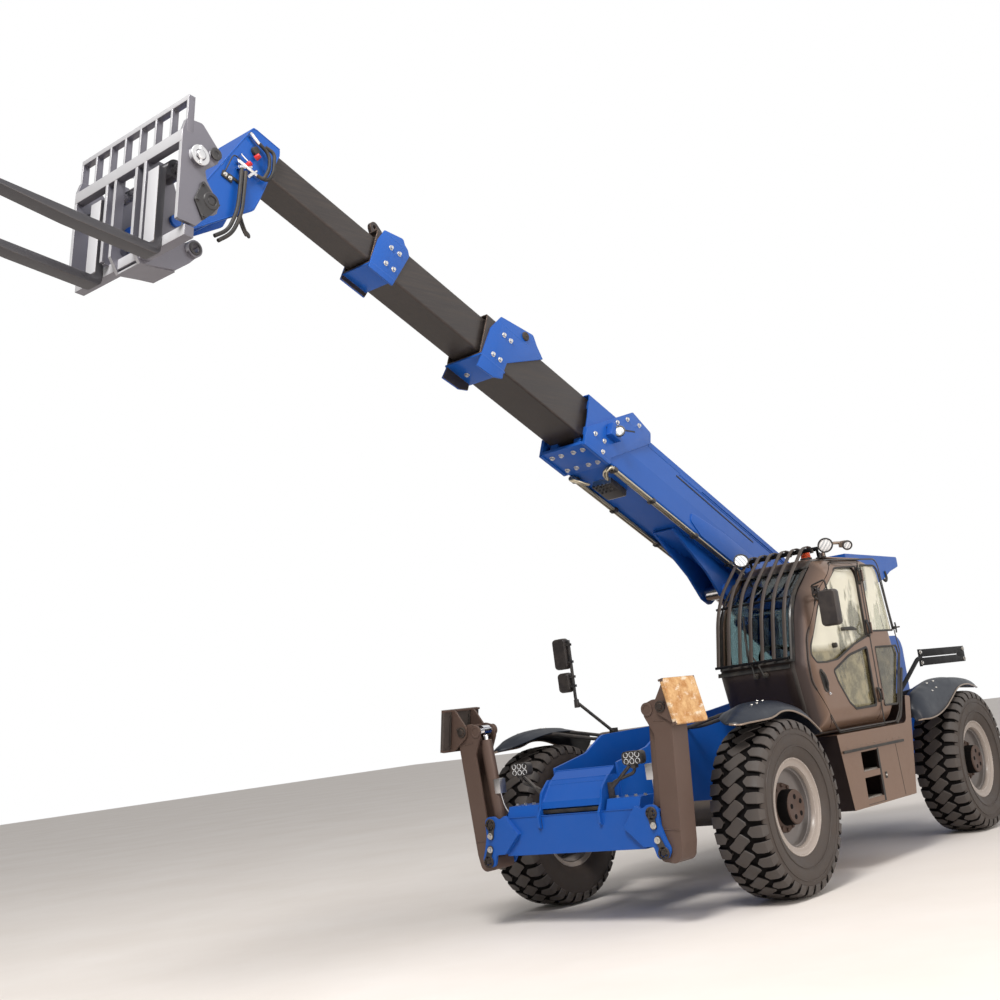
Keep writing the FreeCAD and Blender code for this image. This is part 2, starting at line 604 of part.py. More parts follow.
def front_beam():
    face = BEAM_FACE_X
    back = face - BEAM_DEPTH
    top = BEAM_TOP
    parts = [box(back, face, -BEAM_HALF, BEAM_HALF, BEAM_BOTTOM, top)]
    leg_front = LEG_CENTRE_X + LEG_DEPTH / 2.0
    leg_back = LEG_CENTRE_X - LEG_DEPTH / 2.0
    ear_front = leg_front + EAR_GAP
    ear_back = leg_back - EAR_GAP - EAR_PLATE
    for x0 in (ear_front, ear_back):
        parts += both_sides(beam_ear(x0, x0 + EAR_PLATE))
    packing = beam_ear(face - 1.0, ear_front + 1.0)
    parts += both_sides(packing.common(box(0.0, 2000.0, 0.0, BEAM_HALF, 0.0, 2000.0)))
    for y, z in ((LEG_PIN_Y, LEG_PIN_Z), (RAM_PIN_Y, RAM_PIN_Z)):
        parts += both_sides(rod_x(y, z, ear_back - 6.0, ear_front + EAR_PLATE + 4.0, PIN_RADIUS))
    cheek = prism_xz([(FRAME_FRONT_X + 2.0, 700.0), (FRAME_FRONT_X + 2.0, 1040.0, 20.0),
                      (990.0, 1044.0, 30.0), (1090.0, 960.0, 60.0), (1120.0, 860.0, 40.0),
                      (1162.0, top, 20.0), (1162.0, 720.0, 20.0), (1110.0, 700.0)],
                     HOOD_HALF, HOOD_HALF + 18.0)
    parts += both_sides(cheek)
    parts.append(prism_xz([(972.0, 1040.0), (1097.0, 895.0), (1108.0, 848.0), (1100.0, 846.0),
                           (1089.0, 892.0), (965.0, 1034.0)], -HOOD_HALF, HOOD_HALF))
    parts.append(prism_xz([(FRAME_FRONT_X + SEAT_GAP, 1098.0), (972.0, 1034.0), (968.0, 1024.0),
                           (FRAME_FRONT_X + SEAT_GAP, 1086.0)], -HOOD_HALF, HOOD_HALF))
    parts.append(box(990.0, 1002.0, -HOOD_HALF, HOOD_HALF, top, 1010.0))
    parts += both_sides(prism_xz([(back, top), (back, top + 80.0), (1080.0, top + 80.0), (1120.0, top)],
                                 310.0, BEAM_HALF - 26.0))
    parts.append(box(FRAME_FRONT_X - 10.0, back + 10.0, -TROUGH_HALF, TROUGH_HALF, 600.0, 780.0))
    return fuse(parts)


# Stabilisers

def on_leg(shape, left):
    leaned = turned(shape, (0, 0, 0), (1, 0, 0), -LEG_LEAN)
    placed = moved(leaned, LEG_CENTRE_X, LEG_PIN_Y, LEG_PIN_Z)
    return placed if left else mirrored(placed)


def leg(left):
    half = LEG_DEPTH / 2.0
    outer = LEG_INSET + LEG_WIDTH
    body = prism_yz([(LEG_INSET - 30.0, -60.0, 40.0), (outer - 20.0, -76.0, 60.0), (outer, 60.0, 40.0),
                     (outer, FOOT_PIN_V + 30.0, 60.0), (LEG_INSET + 10.0, FOOT_PIN_V + 50.0, 60.0),
                     (LEG_RAM_U - 40.0, LEG_RAM_V + 30.0, 40.0), (LEG_RAM_U - 30.0, LEG_RAM_V - 50.0, 30.0),
                     (LEG_INSET, LEG_RAM_V - 170.0), (LEG_INSET, 90.0), (LEG_INSET - 30.0, 20.0)], -half, half)
    slot = prism_yz([(LEG_RAM_U - 80.0, 60.0), (outer - 12.0, 60.0), (outer - 12.0, FOOT_PIN_V - 80.0),
                     (LEG_INSET + 40.0, FOOT_PIN_V + 30.0), (LEG_INSET + 40.0, 1200.0),
                     (LEG_RAM_U - 80.0, 1200.0)], -half + LEG_CHEEK, half - LEG_CHEEK)
    body = body.cut(slot)
    body = body.cut(rod_x(0, 0, -half - 1, half + 1, PIN_RADIUS + SEAT_GAP))
    for side in (-1.0, 1.0):
        ends = sorted((side * (half - LEG_CHEEK), side * (half + 6.0)))
        body = body.fuse(rod_x(LEG_RAM_U, LEG_RAM_V, ends[0], ends[1], PIN_RADIUS + 15.0))
    body = body.fuse(rod_x(FOOT_PIN_U, FOOT_PIN_V, -half - 30.0, half + 30.0, PIN_RADIUS))
    return on_leg(body, left)


def foot(left):
    """Ground pad on two triangular ears outside the leg's end, seen here folded upright."""
    ear_in = LEG_DEPTH / 2.0 + 5.0
    high = FOOT_HEIGHT / 2.0
    wide = FOOT_LENGTH / 2.0
    parts = [box(-wide, wide, FOOT_REACH - FOOT_PLATE, FOOT_REACH, -high, high)]
    for z in (-high, high - 14.0):
        parts.append(box(-wide, wide, FOOT_REACH - 36.0, FOOT_REACH, z, z + 14.0))
    back = FOOT_REACH - FOOT_PLATE
    ear = prism_yz([(-46.0, -34.0, 30.0), (back - 40.0, 6.0 - high), (back, 6.0 - high),
                    (back, high - 6.0), (back - 40.0, high - 6.0), (-46.0, 34.0, 30.0)],
                   ear_in, ear_in + 14.0)
    ear = ear.cut(rod_x(0, 0, 0, 400.0, PIN_RADIUS + SEAT_GAP))
    parts.append(ear)
    parts.append(ear.mirror(V(0, 0, 0), V(1, 0, 0)))
    body = turned(fuse(parts), (0, 0, 0), (1, 0, 0), LEG_LEAN + FOOT_TILT)
    return on_leg(moved(body, 0, FOOT_PIN_U, FOOT_PIN_V), left)


def leg_ram_ends():
    a = math.radians(LEG_LEAN)
    top = (LEG_PIN_Y + LEG_RAM_U * math.cos(a) + LEG_RAM_V * math.sin(a),
           LEG_PIN_Z - LEG_RAM_U * math.sin(a) + LEG_RAM_V * math.cos(a))
    return (RAM_PIN_Y, RAM_PIN_Z), top


def leg_ram(barrel, left):
    """Leg ram; its rod carries its own pin, since the link is opened at the rod's eye."""
    (y0, z0), (y1, z1) = leg_ram_ends()
    length = math.hypot(y1 - y0, z1 - z0)
    eye = LEG_EYE_RADIUS
    if barrel:
        shape = rod((0, 0, eye - 8.0), (0, 0, length - 72.0), LEG_BARREL_RADIUS)
        shape = shape.cut(rod((0, 0, 80.0), (0, 0, length), LEG_ROD_RADIUS + 1.0))
        shape = shape.fuse(rod_x(0, 0, -40.0, 40.0, eye))
        shape = shape.cut(rod_x(0, 0, -60.0, 60.0, PIN_RADIUS + SEAT_GAP))
    else:
        shape = rod((0, 0, 150.0), (0, 0, length - 30.0), LEG_ROD_RADIUS)
        room = LEG_DEPTH / 2.0 - LEG_CHEEK
        shape = shape.fuse(rod_x(0, length, -40.0, 40.0, eye))
        shape = shape.fuse(rod_x(0, length, 5.0 - room, room - 5.0, PIN_RADIUS))
    lean = math.degrees(math.atan2(y1 - y0, z1 - z0))
    shape = turned(shape, (0, 0, 0), (1, 0, 0), -lean)
    placed = moved(shape, LEG_CENTRE_X, y0, z0)
    return placed if left else mirrored(placed)


# Boom

def section_tube(name):
    """Hollow tube of one section; the walls may lean in above their crease."""
    size = SECTIONS[name]
    low, high, lean = size["low"], size["high"], size["lean"]
    blocks = []
    for inset, extra, r in ((0.0, 0.0, 14.0), (BOOM_WALL, 1.0, 6.0)):
        half = size["width"] / 2.0 - inset
        right = [(half, low + inset, r), (half, CREASE_H), (half - lean, high - inset, r)]
        if lean == 0.0:
            right.pop(1)
        left = [(-p[0],) + tuple(p[1:]) for p in reversed(right)]
        blocks.append(prism_yz(right + left, size["tail"] - extra, size["mouth"] + extra))
    return blocks[0].cut(blocks[1])


def wear_pads(outer, inner):
    """Slide pads in the mouth of one section, against the next one in."""
    big, small = SECTIONS[outer], SECTIONS[inner]
    s0, s1 = big["mouth"] - 170.0, big["mouth"] - 30.0
    in_half = big["width"] / 2.0 - BOOM_WALL
    top_half = in_half - big["lean"] + (5.0 if big["lean"] > 0.0 else 1.0)
    half = small["width"] / 2.0 + SEAT_GAP
    pads = both_sides(box(s0, s1, half, in_half + 1.0, small["low"] + 20.0, small["low"] + 90.0))
    pads += both_sides(box(s0, s1, half, top_half, small["high"] - 90.0, small["high"] - 20.0))
    low = big["low"] + BOOM_WALL
    pads += both_sides(box(s0, s1, half - 80.0, half - 15.0, low - 1.0, small["low"] - SEAT_GAP))
    high = big["high"] - BOOM_WALL
    pads += both_sides(box(s0, s1, half - 80.0, half - 15.0, small["high"] + SEAT_GAP, high + 1.0))
    return pads


def outer_boom():
    """First section: tube with creased walls, chamfered mouth collar and ram bracket."""
    size = SECTIONS["outer"]
    half = size["width"] / 2.0
    low, high, mouth = size["low"], size["high"], size["mouth"]
    parts = [section_tube("outer")] + wear_pads("outer", "second")
    lean_in = half - 1.0 - size["lean"]
    parts += both_sides(prism_xz(offsets(COLLAR_ONE, mouth), lean_in, half + COLLAR_PLATE))
    collar_back = mouth - 342.0
    parts.append(box(collar_back, mouth, -half - COLLAR_PLATE, half + COLLAR_PLATE, low - 14.0, low))
    parts.append(box(mouth - 760.0, mouth - 560.0, -half - COLLAR_PLATE, half + COLLAR_PLATE,
                     high, high + 12.0))
    parts += both_sides(prism_xz(SIDE_PATCH, half - 1.0, half + 8.0))
    parts += both_sides(box(RAIL_REAR_S, mouth - 820.0, lean_in - 12.0, lean_in + 4.0, high - 20.0, high + 32.0))
    eye_s, eye_h = LIFT_EYE_S, LIFT_EYE_H
    front_s = eye_s + GUSSET_SHARE * (mouth - eye_s)
    gusset = prism_xz([(front_s, low + 1.0), (front_s, low - 30.0),
                       (eye_s + 300.0, eye_h + 30.0, 80.0), (eye_s + 60.0, eye_h - 80.0, 70.0),
                       (eye_s - 70.0, eye_h - 80.0, 70.0), (eye_s - 300.0, low + 1.0)],
                      GUSSET_IN_Y, GUSSET_IN_Y + 20.0)
    parts += both_sides(gusset)
    parts += both_sides(rod_y(eye_s, eye_h, GUSSET_IN_Y + 19.0, GUSSET_IN_Y + 40.0, LIFT_PIN_RADIUS + 18.0))
    parts.append(box(eye_s + 400.0, front_s, -GUSSET_IN_Y - 1.0, GUSSET_IN_Y + 1.0, low - 30.0, low - 18.0))
    parts.append(rod_y(0, 0, -half, half, 130.0))
    body = fuse(parts)
    return on_boom(body.cut(rod_y(0, 0, -half - 20.0, half + 20.0, BOOM_PIN_RADIUS + SEAT_GAP)))


def second_boom():
    size = SECTIONS["second"]
    half = size["width"] / 2.0
    low, high, mouth = size["low"], size["high"], size["mouth"]
    parts = [section_tube("second")] + wear_pads("second", "third")
    parts.append(box(mouth - 640.0, mouth - 540.0, -60.0, 60.0, high, high + CHAIN_RISE - SEAT_GAP))
    parts += both_sides(prism_xz(offsets(COLLAR_TWO, mouth), half - 1.0, half + COLLAR_PLATE))
    parts.append(box(mouth - 270.0, mouth, -half - COLLAR_PLATE, half + COLLAR_PLATE, low - 14.0, low))
    parts.append(box(mouth - 460.0, mouth - 160.0, -half - COLLAR_PLATE, half + COLLAR_PLATE,
                     high, high + 10.0))
    return on_boom(fuse(parts))


def third_boom():
    size = SECTIONS["third"]
    half = size["width"] / 2.0
    low, high, mouth = size["low"], size["high"], size["mouth"]
    parts = [section_tube("third")] + wear_pads("third", "fourth")
    parts += both_sides(prism_xz(offsets(COLLAR_THREE, mouth), half - 1.0, half + COLLAR_PLATE))
    parts.append(box(mouth - 223.0, mouth, -half - COLLAR_PLATE, half + COLLAR_PLATE, low - 12.0, low))
    parts.append(box(mouth - 210.0, mouth - 60.0, -half - COLLAR_PLATE, half + COLLAR_PLATE,
                     high, high + 10.0))
    lug_s, lug_h = mouth - 52.0, high + 101.0
    lug = prism_xz([(lug_s - 28.0, high - 6.0), (lug_s + 35.0, high + 79.0), (lug_s - 18.0, lug_h + 36.0),
                    (lug_s - 78.0, lug_h + 8.0), (lug_s - 128.0, high - 6.0)], -14.0, 14.0)
    lug = lug.fuse(rod_y(lug_s, lug_h, -14.0, 14.0, 40.0))
    lug = lug.cut(rod_y(lug_s, lug_h, -20.0, 20.0, 15.0))
    parts.append(lug)
    return on_boom(fuse(parts))


def boom_head():
    """Two cheeks with a front cap and a rear belly plate, open at the nose for the tilt arms."""
    half = HEAD_HALF
    thick = 12.0
    nose = [(NOSE_S + 64.0, NOSE_H + 68.0, 60.0), (NOSE_S + 66.0, NOSE_H - 20.0, 50.0),
            (NOSE_S - 20.0, NOSE_H - 74.0, 50.0)]
    parts = both_sides(prism_xz(HEAD_FRONT + nose + HEAD_BACK, half - HEAD_PLATE, half))
    size = SECTIONS["fourth"]
    end = size["mouth"]
    slot = size["width"] / 2.0 + SEAT_GAP
    frame = box(end - 18.0, end - 2.0, -half, half, -200.0, HEAD_TOP - 8.0)
    frame = frame.cut(box(end - 20.0, end, -slot, slot, size["low"] - SEAT_GAP, size["high"] + SEAT_GAP))
    parts.append(frame)
    front_s, front_h = HEAD_FRONT[1][0] - 2.0, HEAD_TOP - 2.0
    low_s, low_h = HEAD_FRONT[2][0] - 2.0, HEAD_FRONT[2][1]
    cap_s = end + SEAT_GAP
    parts.append(prism_xz([(cap_s, front_h), (front_s, front_h), (low_s, low_h), (low_s - thick, low_h),
                           (front_s - thick, front_h - thick), (cap_s, front_h - thick)],
                          2.0 - half, half - 2.0))
    top_s, top_h = HEAD_BACK[2][0] + 2.0, HEAD_BACK[2][1]
    belly_s, belly_h = HEAD_BELLY_END
    parts.append(prism_xz([(top_s, top_h), (belly_s, belly_h), (belly_s + 10.0, belly_h + 6.0),
                           (top_s + thick + 1.0, top_h + 6.0), (end + 10.0, -205.0), (end - 2.0, -205.0)],
                          2.0 - half, half - 2.0))
    parts.append(rod_y(NOSE_S, NOSE_H, -half - 60.0, half + 60.0, NOSE_PIN_RADIUS))
    return on_boom(fuse(parts))


def lift_ram(barrel):
    """Lift ram; its rod carries its own pin, since the link is opened at the rod's eye."""
    ex, _, ez = boom_point(LIFT_EYE_S, 0, LIFT_EYE_H)
    dx, dz = ex - LIFT_BASE_X, ez - LIFT_BASE_Z
    length = math.hypot(dx, dz)
    eye = LIFT_EYE_RADIUS
    if barrel:
        shape = rod((0, 0, 60.0), (0, 0, LIFT_BARREL_LENGTH), LIFT_BARREL_RADIUS)
        shape = shape.cut(rod((0, 0, 120.0), (0, 0, LIFT_BARREL_LENGTH + 200.0), LIFT_ROD_RADIUS + 1.0))
        shape = shape.fuse(rod_y(0, 0, -80.0, 80.0, LIFT_BARREL_RADIUS))
        shape = shape.cut(rod_y(0, 0, -100.0, 100.0, LIFT_PIN_RADIUS + SEAT_GAP))
    else:
        shape = rod((0, 0, LIFT_ROD_INNER), (0, 0, length - eye + 10.0), LIFT_ROD_RADIUS)
        shape = shape.fuse(rod_y(0, length, -74.0, 74.0, eye))
        shape = shape.fuse(rod_y(0, length, -79.0, 79.0, LIFT_PIN_RADIUS))
    lean = math.degrees(math.atan2(dx, dz))
    shape = turned(shape, (0, 0, 0), (0, 1, 0), lean)
    return moved(shape, LIFT_BASE_X, 0, LIFT_BASE_Z)


def boom_pipes():
    """Two steel pipes along each lower edge, their clips and the valve block."""
    size = SECTIONS["outer"]
    low, mouth = size["low"], size["mouth"]
    z = low - 16.0
    start, end = mouth - 2880.0, mouth - 372.0
    parts = []
    for y in (175.0, 203.0):
        parts += both_sides(rod((start, y, z), (end, y, z), PIPE_RADIUS))
    for s in (start + 100.0, mouth - 1626.0, end - 60.0):
        parts += both_sides(box(s, s + 30.0, 158.0, 212.0, z - 4.0, low - SEAT_GAP))
    valve_rear, valve_front = [mouth - share * (mouth - LIFT_EYE_S) for share in VALVE_SHARES]
    parts.append(box(valve_rear, valve_front, -90.0, 90.0, z - 40.0, low - SEAT_GAP))
    return on_boom(Part.makeCompound([fuse([p for p in parts[:-1] if p.BoundBox.YMin > 0.0]),
                                      fuse([p for p in parts[:-1] if p.BoundBox.YMax < 0.0]), parts[-1]]))


def energy_chain():
    size = SECTIONS["second"]
    low = size["high"] + CHAIN_RISE
    return on_boom(box(1500.0, size["mouth"] - 550.0, -60.0, 60.0, low, low + 50.0))


# Carriage and forks

def carriage():
    """Wide carriage: end plates, backrest, shaft, centre plates with the tilt arm."""
    h, t = CARRIAGE_HALF, CARRIAGE_PLATE
    front = CARRIAGE_FRONT
    parts = both_sides(prism_xz(END_PLATE, h - t, h))
    doubler = prism_xz([(-62.0, 0.0), (58.0, 107.0, 10.0), (110.0, -30.0, 10.0), (47.0, -137.0, 10.0),
                        (-6.0, -80.0, 10.0)], h, h + 10.0)
    parts += both_sides(doubler.cut(rod_y(0, 0, h - 1.0, h + 11.0, 52.0)))
    parts += both_sides(rod_y(0, 0, h - t, h + 6.0, 58.0))
    parts += both_sides(rod_y(-11.0, 302.0, h - 2.0, h + 14.0, 36.0))
    parts.append(box(CROSSBAR_BACK, front, -h + 1.0, h - 1.0, 297.0, 370.0))
    b0, b1 = 140.0, 182.0
    parts.append(box(b0, b1, -h, h, BACKREST_TOP - 30.0, BACKREST_TOP))
    for i in range(BACKREST_BARS):
        y = -h + i * (2.0 * h - 16.0) / (BACKREST_BARS - 1)
        parts.append(box(b0, b1, y, y + 16.0, 368.0, BACKREST_TOP - 1.0))
    for y in (-200.0, 176.0):
        parts.append(prism_xz([(front - 20.0, -210.0), (front - 20.0, 330.0), (60.0, 330.0, 30.0),
                               (-50.0, 60.0, 40.0), (-66.0, -50.0, 50.0), (60.0, -110.0, 40.0),
                               (130.0, -210.0)], y, y + 24.0))
    parts.append(box(96.0, 156.0, -h, h, -263.0, -200.0))
    parts += both_sides(prism_xz(CENTRE_PLATE, ARM_Y - 12.0, ARM_Y + 12.0))
    parts += both_sides(rod_y(COUPLER_A, COUPLER_V, ARM_Y - 20.0, ARM_Y + 35.0, 52.0))
    parts.append(prism_xz([(-93.0, -252.0), (-88.0, -240.0), (150.0, -278.0), (150.0, -290.0)],
                          -ARM_Y, ARM_Y))
    parts.append(rod_y(SHAFT_A, SHAFT_V, -h - 34.0, h + 34.0, SHAFT_RADIUS))
    parts += both_sides(rod_y(SHAFT_A, SHAFT_V, h, h + 24.0, 60.0))
    body = fuse(parts)
    body = body.cut(rod_y(0, 0, -230.0, 230.0, NOSE_PIN_RADIUS + SEAT_GAP))
    return on_carriage(body.cut(rod_y(COUPLER_A, COUPLER_V, -ARM_Y - 50.0, ARM_Y + 50.0, 28.0)))


def forks():
    blades = []
    shank = FORK_FACE - FORK_THICK
    under = FORK_TOP - FORK_THICK
    for y in (FORK_Y, -FORK_Y):
        outline = [(FORK_FACE, 215.0), (FORK_FACE, FORK_TOP, 30.0), (FORK_FACE + FORK_LENGTH, FORK_TOP, 5.0),
                   (FORK_FACE + FORK_LENGTH, FORK_TOP - 12.0), (FORK_FACE + 500.0, under, 200.0),
                   (shank, under, 40.0), (shank, 215.0)]
        y0, y1 = y - FORK_WIDTH / 2.0, y + FORK_WIDTH / 2.0
        blade = prism_xz(outline, y0, y1)
        eye = rod_y(SHAFT_A, SHAFT_V, y0, y1, SHAFT_RADIUS + 26.0)
        bridge = prism_xz([(SHAFT_A, SHAFT_V - 50.0), (shank + 5.0, 180.0), (shank + 5.0, 215.0),
                           (SHAFT_A + 40.0, SHAFT_V + 40.0)], y0, y1)
        blade = fuse([blade, bridge, eye])
        blades.append(blade.cut(rod_y(SHAFT_A, SHAFT_V, y0 - 1, y1 + 1, SHAFT_RADIUS + SEAT_GAP)))
    return on_carriage(Part.makeCompound(blades))


# Cab

def cab_block(inset, y0, y1):
    """The cab's side outline, moved in by inset, between two side planes."""
    wire = polygon([(p[0], y0, p[1]) + tuple(p[2:3]) for p in CAB_SIDE])
    if abs(inset) > 0.0:
        wire = wire.makeOffset2D(-inset, 2)
    return Part.Face(wire).extrude(V(0, y1 - y0, 0))


CAB_FORMS = {}


def cab_form(inset):
    """The cab's outer form moved in by inset, with both front side edges rounded; each is made once."""
    if inset in CAB_FORMS:
        return CAB_FORMS[inset]
    solid = cab_block(inset, CAB_IN_Y + inset, CAB_OUT_Y - inset)
    rims = []
    for edge in solid.Edges:
        spot = edge.CenterOfMass
        flat = edge.BoundBox.YLength < 0.001
        if flat and spot.x > CAB_ROUND_REAR_X and CAB_FLOOR_Z + 5.0 + inset < spot.z < CAB_ROOF_Z - 5.0:
            rims.append(edge)
    CAB_FORMS[inset] = solid.makeFillet(CAB_ROUND - inset, rims)
    return CAB_FORMS[inset]


def cab_skin(deep, thick):
    """A skin of the cab's walls that starts deep below their face."""
    return cab_form(deep).cut(cab_form(deep + thick))


def windscreen_tool(gap):
    """Block that cuts the windscreen's opening, smaller by gap all round."""
    points = [(x + 2.0 * gap, z + (gap if z < 2000.0 else -gap)) for x, z in WINDSCREEN_CUT]
    return prism_xz(points, CAB_IN_Y + WINDSCREEN_INSET + gap, CAB_OUT_Y - WINDSCREEN_INSET - gap)


def door_tool(gap):
    """Block in the door's outline, smaller by gap; it leaves the cab's floor behind the sill."""
    tool = prism_from(inward(DOOR_OUTLINE, gap), CAB_OUT_Y - SIDE_REACH, CAB_OUT_Y + 1.0)
    sill = CAB_OUT_Y - CAB_WALL - DOOR_GAP + gap
    return tool.cut(box(-3000.0, 0.0, 0.0, sill, 0.0, CAB_FLOOR_Z + CAB_WALL + DOOR_GAP))


def hinge_half(z, side):
    """One leaf of a door hinge with its share of the knuckle; side is 1 on the door, -1 on the cab."""
    y = CAB_OUT_Y
    spans = ((-25.0, 25.0),) if side > 0 else ((-47.0, -26.0), (26.0, 47.0))
    parts = [bounds(17.0, 52.0, side, y - 1.0, y + 8.0, z - 47.0, z + 47.0)]
    for low, high in spans:
        parts.append(rod((HINGE_X, HINGE_Y, z + low), (HINGE_X, HINGE_Y, z + high), HINGE_RADIUS))
        parts.append(bounds(0.0, 30.0, side, y + 2.0, HINGE_Y, z + low, z + high))
    return fuse(parts)


def bounds(near, far, side, y0, y1, z0, z1):
    """A box reaching from near to far off the hinge line, on its front or rear side."""
    xs = sorted((HINGE_X + side * near, HINGE_X + side * far))
    return box(xs[0], xs[1], y0, y1, z0, z1)


def cab_shell():
    """Cab walls with rounded front corners, all panes and the door cut out of them."""
    y0, y1 = CAB_OUT_Y - SIDE_REACH, CAB_OUT_Y + 5.0
    shell = cab_skin(0.0, CAB_WALL).cut(windscreen_tool(0.0)).cut(door_tool(0.0))
    for outline in (REAR_QUARTER, LOW_QUARTER):
        shell = shell.cut(prism_xz(outline, y0, y1))
    shell = shell.cut(prism_xz(RIGHT_PANE, CAB_IN_Y - 5.0, CAB_IN_Y + SIDE_REACH))
    shell = shell.cut(box(-2500.0, -2150.0, CAB_IN_Y + 90.0, CAB_OUT_Y - 90.0, 1750.0, 2350.0))
    return fuse([shell] + [hinge_half(z, -1.0) for z in HINGE_ZS])


def inward(points, gap):
    """An XZ outline moved in by gap, as a flat face at y = 0."""
    wire = polygon([(p[0], 0.0, p[1]) + tuple(p[2:3]) for p in points])
    return wire.makeOffset2D(-gap, 2)


def plate_xz(points, gap, y0, y1):
    return prism_from(inward(points, gap), y0, y1)


def cab_door():
    """Door panel cut from the cab's wall, so that its front edge follows the corner."""
    body = cab_skin(0.0, CAB_WALL).common(door_tool(DOOR_GAP))
    for glazing in (DOOR_UPPER, DOOR_LOWER):
        body = body.cut(prism_xz(glazing, CAB_OUT_Y - SIDE_REACH, CAB_OUT_Y + 1.0))
    return fuse([body] + [hinge_half(z, 1.0) for z in HINGE_ZS])


def door_glass():
    skin = cab_skin(PANE_DEPTH, GLASS)
    panes = []
    for outline in (DOOR_UPPER, DOOR_LOWER):
        tool = prism_from(inward(outline, SEAT_GAP), CAB_OUT_Y - SIDE_REACH, CAB_OUT_Y)
        panes.append(skin.common(tool))
    return Part.makeCompound(panes)


def cab_glass():
    panes = [cab_skin(PANE_DEPTH, GLASS).common(windscreen_tool(SEAT_GAP))]
    y = CAB_OUT_Y - PANE_DEPTH - GLASS
    for outline in (REAR_QUARTER, LOW_QUARTER):
        panes.append(plate_xz(outline, SEAT_GAP, y, y + GLASS))
    y = CAB_IN_Y + PANE_DEPTH
    panes.append(plate_xz(RIGHT_PANE, SEAT_GAP, y, y + GLASS))
    return Part.makeCompound(panes)


def cab_guard():
    """Seven curved flat bars on a lower rod, with a pair of roof tubes under them."""
    y0, y1 = CAB_IN_Y + 75.0, CAB_OUT_Y - 115.0
    skin = cab_block(-GUARD_OFFSET - GUARD_BAR, y0, y1).cut(cab_block(-GUARD_OFFSET, y0 - 1.0, y1 + 1.0))
    skin = skin.common(prism_xz([(-300.0, 1700.0), (-300.0, 2700.0), (-1345.0, 2700.0), (-1345.0, 2450.0),
                                 (-900.0, 1700.0)], y0, y1))
    step = (y1 - y0 - GUARD_BAR_WIDE) / (GUARD_BARS - 1)
    parts = []
    for i in range(GUARD_BARS):
        y = y0 + i * step
        parts.append(skin.common(box(-3000.0, 0, y, y + GUARD_BAR_WIDE, 0, 3000.0)))
    clear = cab_block(-SEAT_GAP, 0.0, 1300.0)
    for x, z, radius in GUARD_TUBES:
        parts.append(rod_y(x, z, y0 - 10.0, y1 + 10.0, radius))
    for y in (y0, y1 - 20.0):
        parts.append(box(-1340.0, -1300.0, y, y + 20.0, CAB_ROOF_Z - 25.0, CAB_ROOF_Z + 30.0).cut(clear))
        parts.append(box(-660.0, -528.0, y, y + 20.0, 1704.0, 1724.0).cut(clear))
    return fuse(parts)


def cab_interior():
    """Seat on its box, and the console with the steering column and wheel."""
    y0, y1 = SEAT_Y
    squab = box(-1950.0, -1450.0, y0, y1, SEAT_TOP_Z - 120.0, SEAT_TOP_Z)
    back = prism_xz([(-1860.0, SEAT_TOP_Z - 20.0), (-1990.0, SEAT_BACK_Z, 40.0), (-2090.0, SEAT_BACK_Z, 40.0),
                     (-1990.0, SEAT_TOP_Z - 20.0)], y0 + 20.0, y1 - 20.0)
    floor = CAB_FLOOR_Z + CAB_WALL + 2.0
    base = box(-1900.0, -1550.0, y0 + 80.0, y1 - 80.0, floor, SEAT_TOP_Z - 120.0)
    console = prism_xz([(-900.0, floor), (-760.0, floor), (-700.0, 1560.0, 40.0), (-860.0, 1640.0, 40.0)],
                       560.0, 900.0)
    hub, axis = V(*STEERING_HUB), V(*STEERING_AXIS)
    column = rod((-850.0, hub.y, 1560.0), (hub.x, hub.y, hub.z + 8.0), 26.0)
    disc = Part.makeCylinder(STEERING_RADIUS, STEERING_RIM, hub, axis)
    disc = disc.cut(Part.makeCylinder(STEERING_RADIUS - STEERING_RIM, 60.0, hub - axis * 20, axis))
    spoke = rod_y(hub.x - 7.0, hub.z + 9.0, hub.y - STEERING_RADIUS + 15.0, hub.y + STEERING_RADIUS - 15.0, 22.0)
    return Part.makeCompound([fuse([squab, back, base]), fuse([console, column, disc, spoke])])


# Body pieces round the cab

def step_cabinet():
    """Cabinet below the cab: two step recesses, door strip and the post behind the cab."""
    front, back = CABINET_FRONT_X, CABINET_BACK_X
    outline = [(front + 105.0, 1080.0), (front, CABINET_BOTTOM, 10.0), (back, CABINET_BOTTOM, 10.0),
               (back - 210.0, CABINET_POST_Z - 10.0, 20.0), (back - 110.0, CABINET_POST_Z, 10.0), (back - 40.0, 1080.0, 80.0)]
    body = prism_xz(outline, CABINET_IN_Y, CABINET_OUT_Y)
    hollow = prism_xz([(front - 20.0, 1060.0), (front - 90.0, CABINET_BOTTOM + 20.0),
                       (-1640.0, CABINET_BOTTOM + 20.0), (-1640.0, 1060.0)],
                      CABINET_IN_Y + 20.0, CABINET_OUT_Y - 20.0)
    body = body.cut(hollow)
    for z0, z1 in STEPS:
        body = body.cut(box(-1580.0, -1275.0, CABINET_OUT_Y - 240.0, CABINET_OUT_Y + 5.0, z0, z1))
        body = body.fuse(box(-1640.0, -1200.0, CABINET_OUT_Y - 230.0, CABINET_OUT_Y - 10.0, z0 - 22.0, z0))
    body = body.fuse(box(-2115.0, -960.0, CABINET_OUT_Y - 1.0, CABINET_OUT_Y + 14.0, 932.0, 950.0))
    side = TROUGH_HALF + FRAME_PLATE + SEAT_GAP
    carrier = box(-2300.0, -800.0, side, CABINET_IN_Y + 1.0, 700.0, 760.0)
    floor = box(-2000.0, -960.0, side, CABINET_IN_Y + 1.0, 1040.0, 1080.0)
    return fuse([body, carrier, floor])


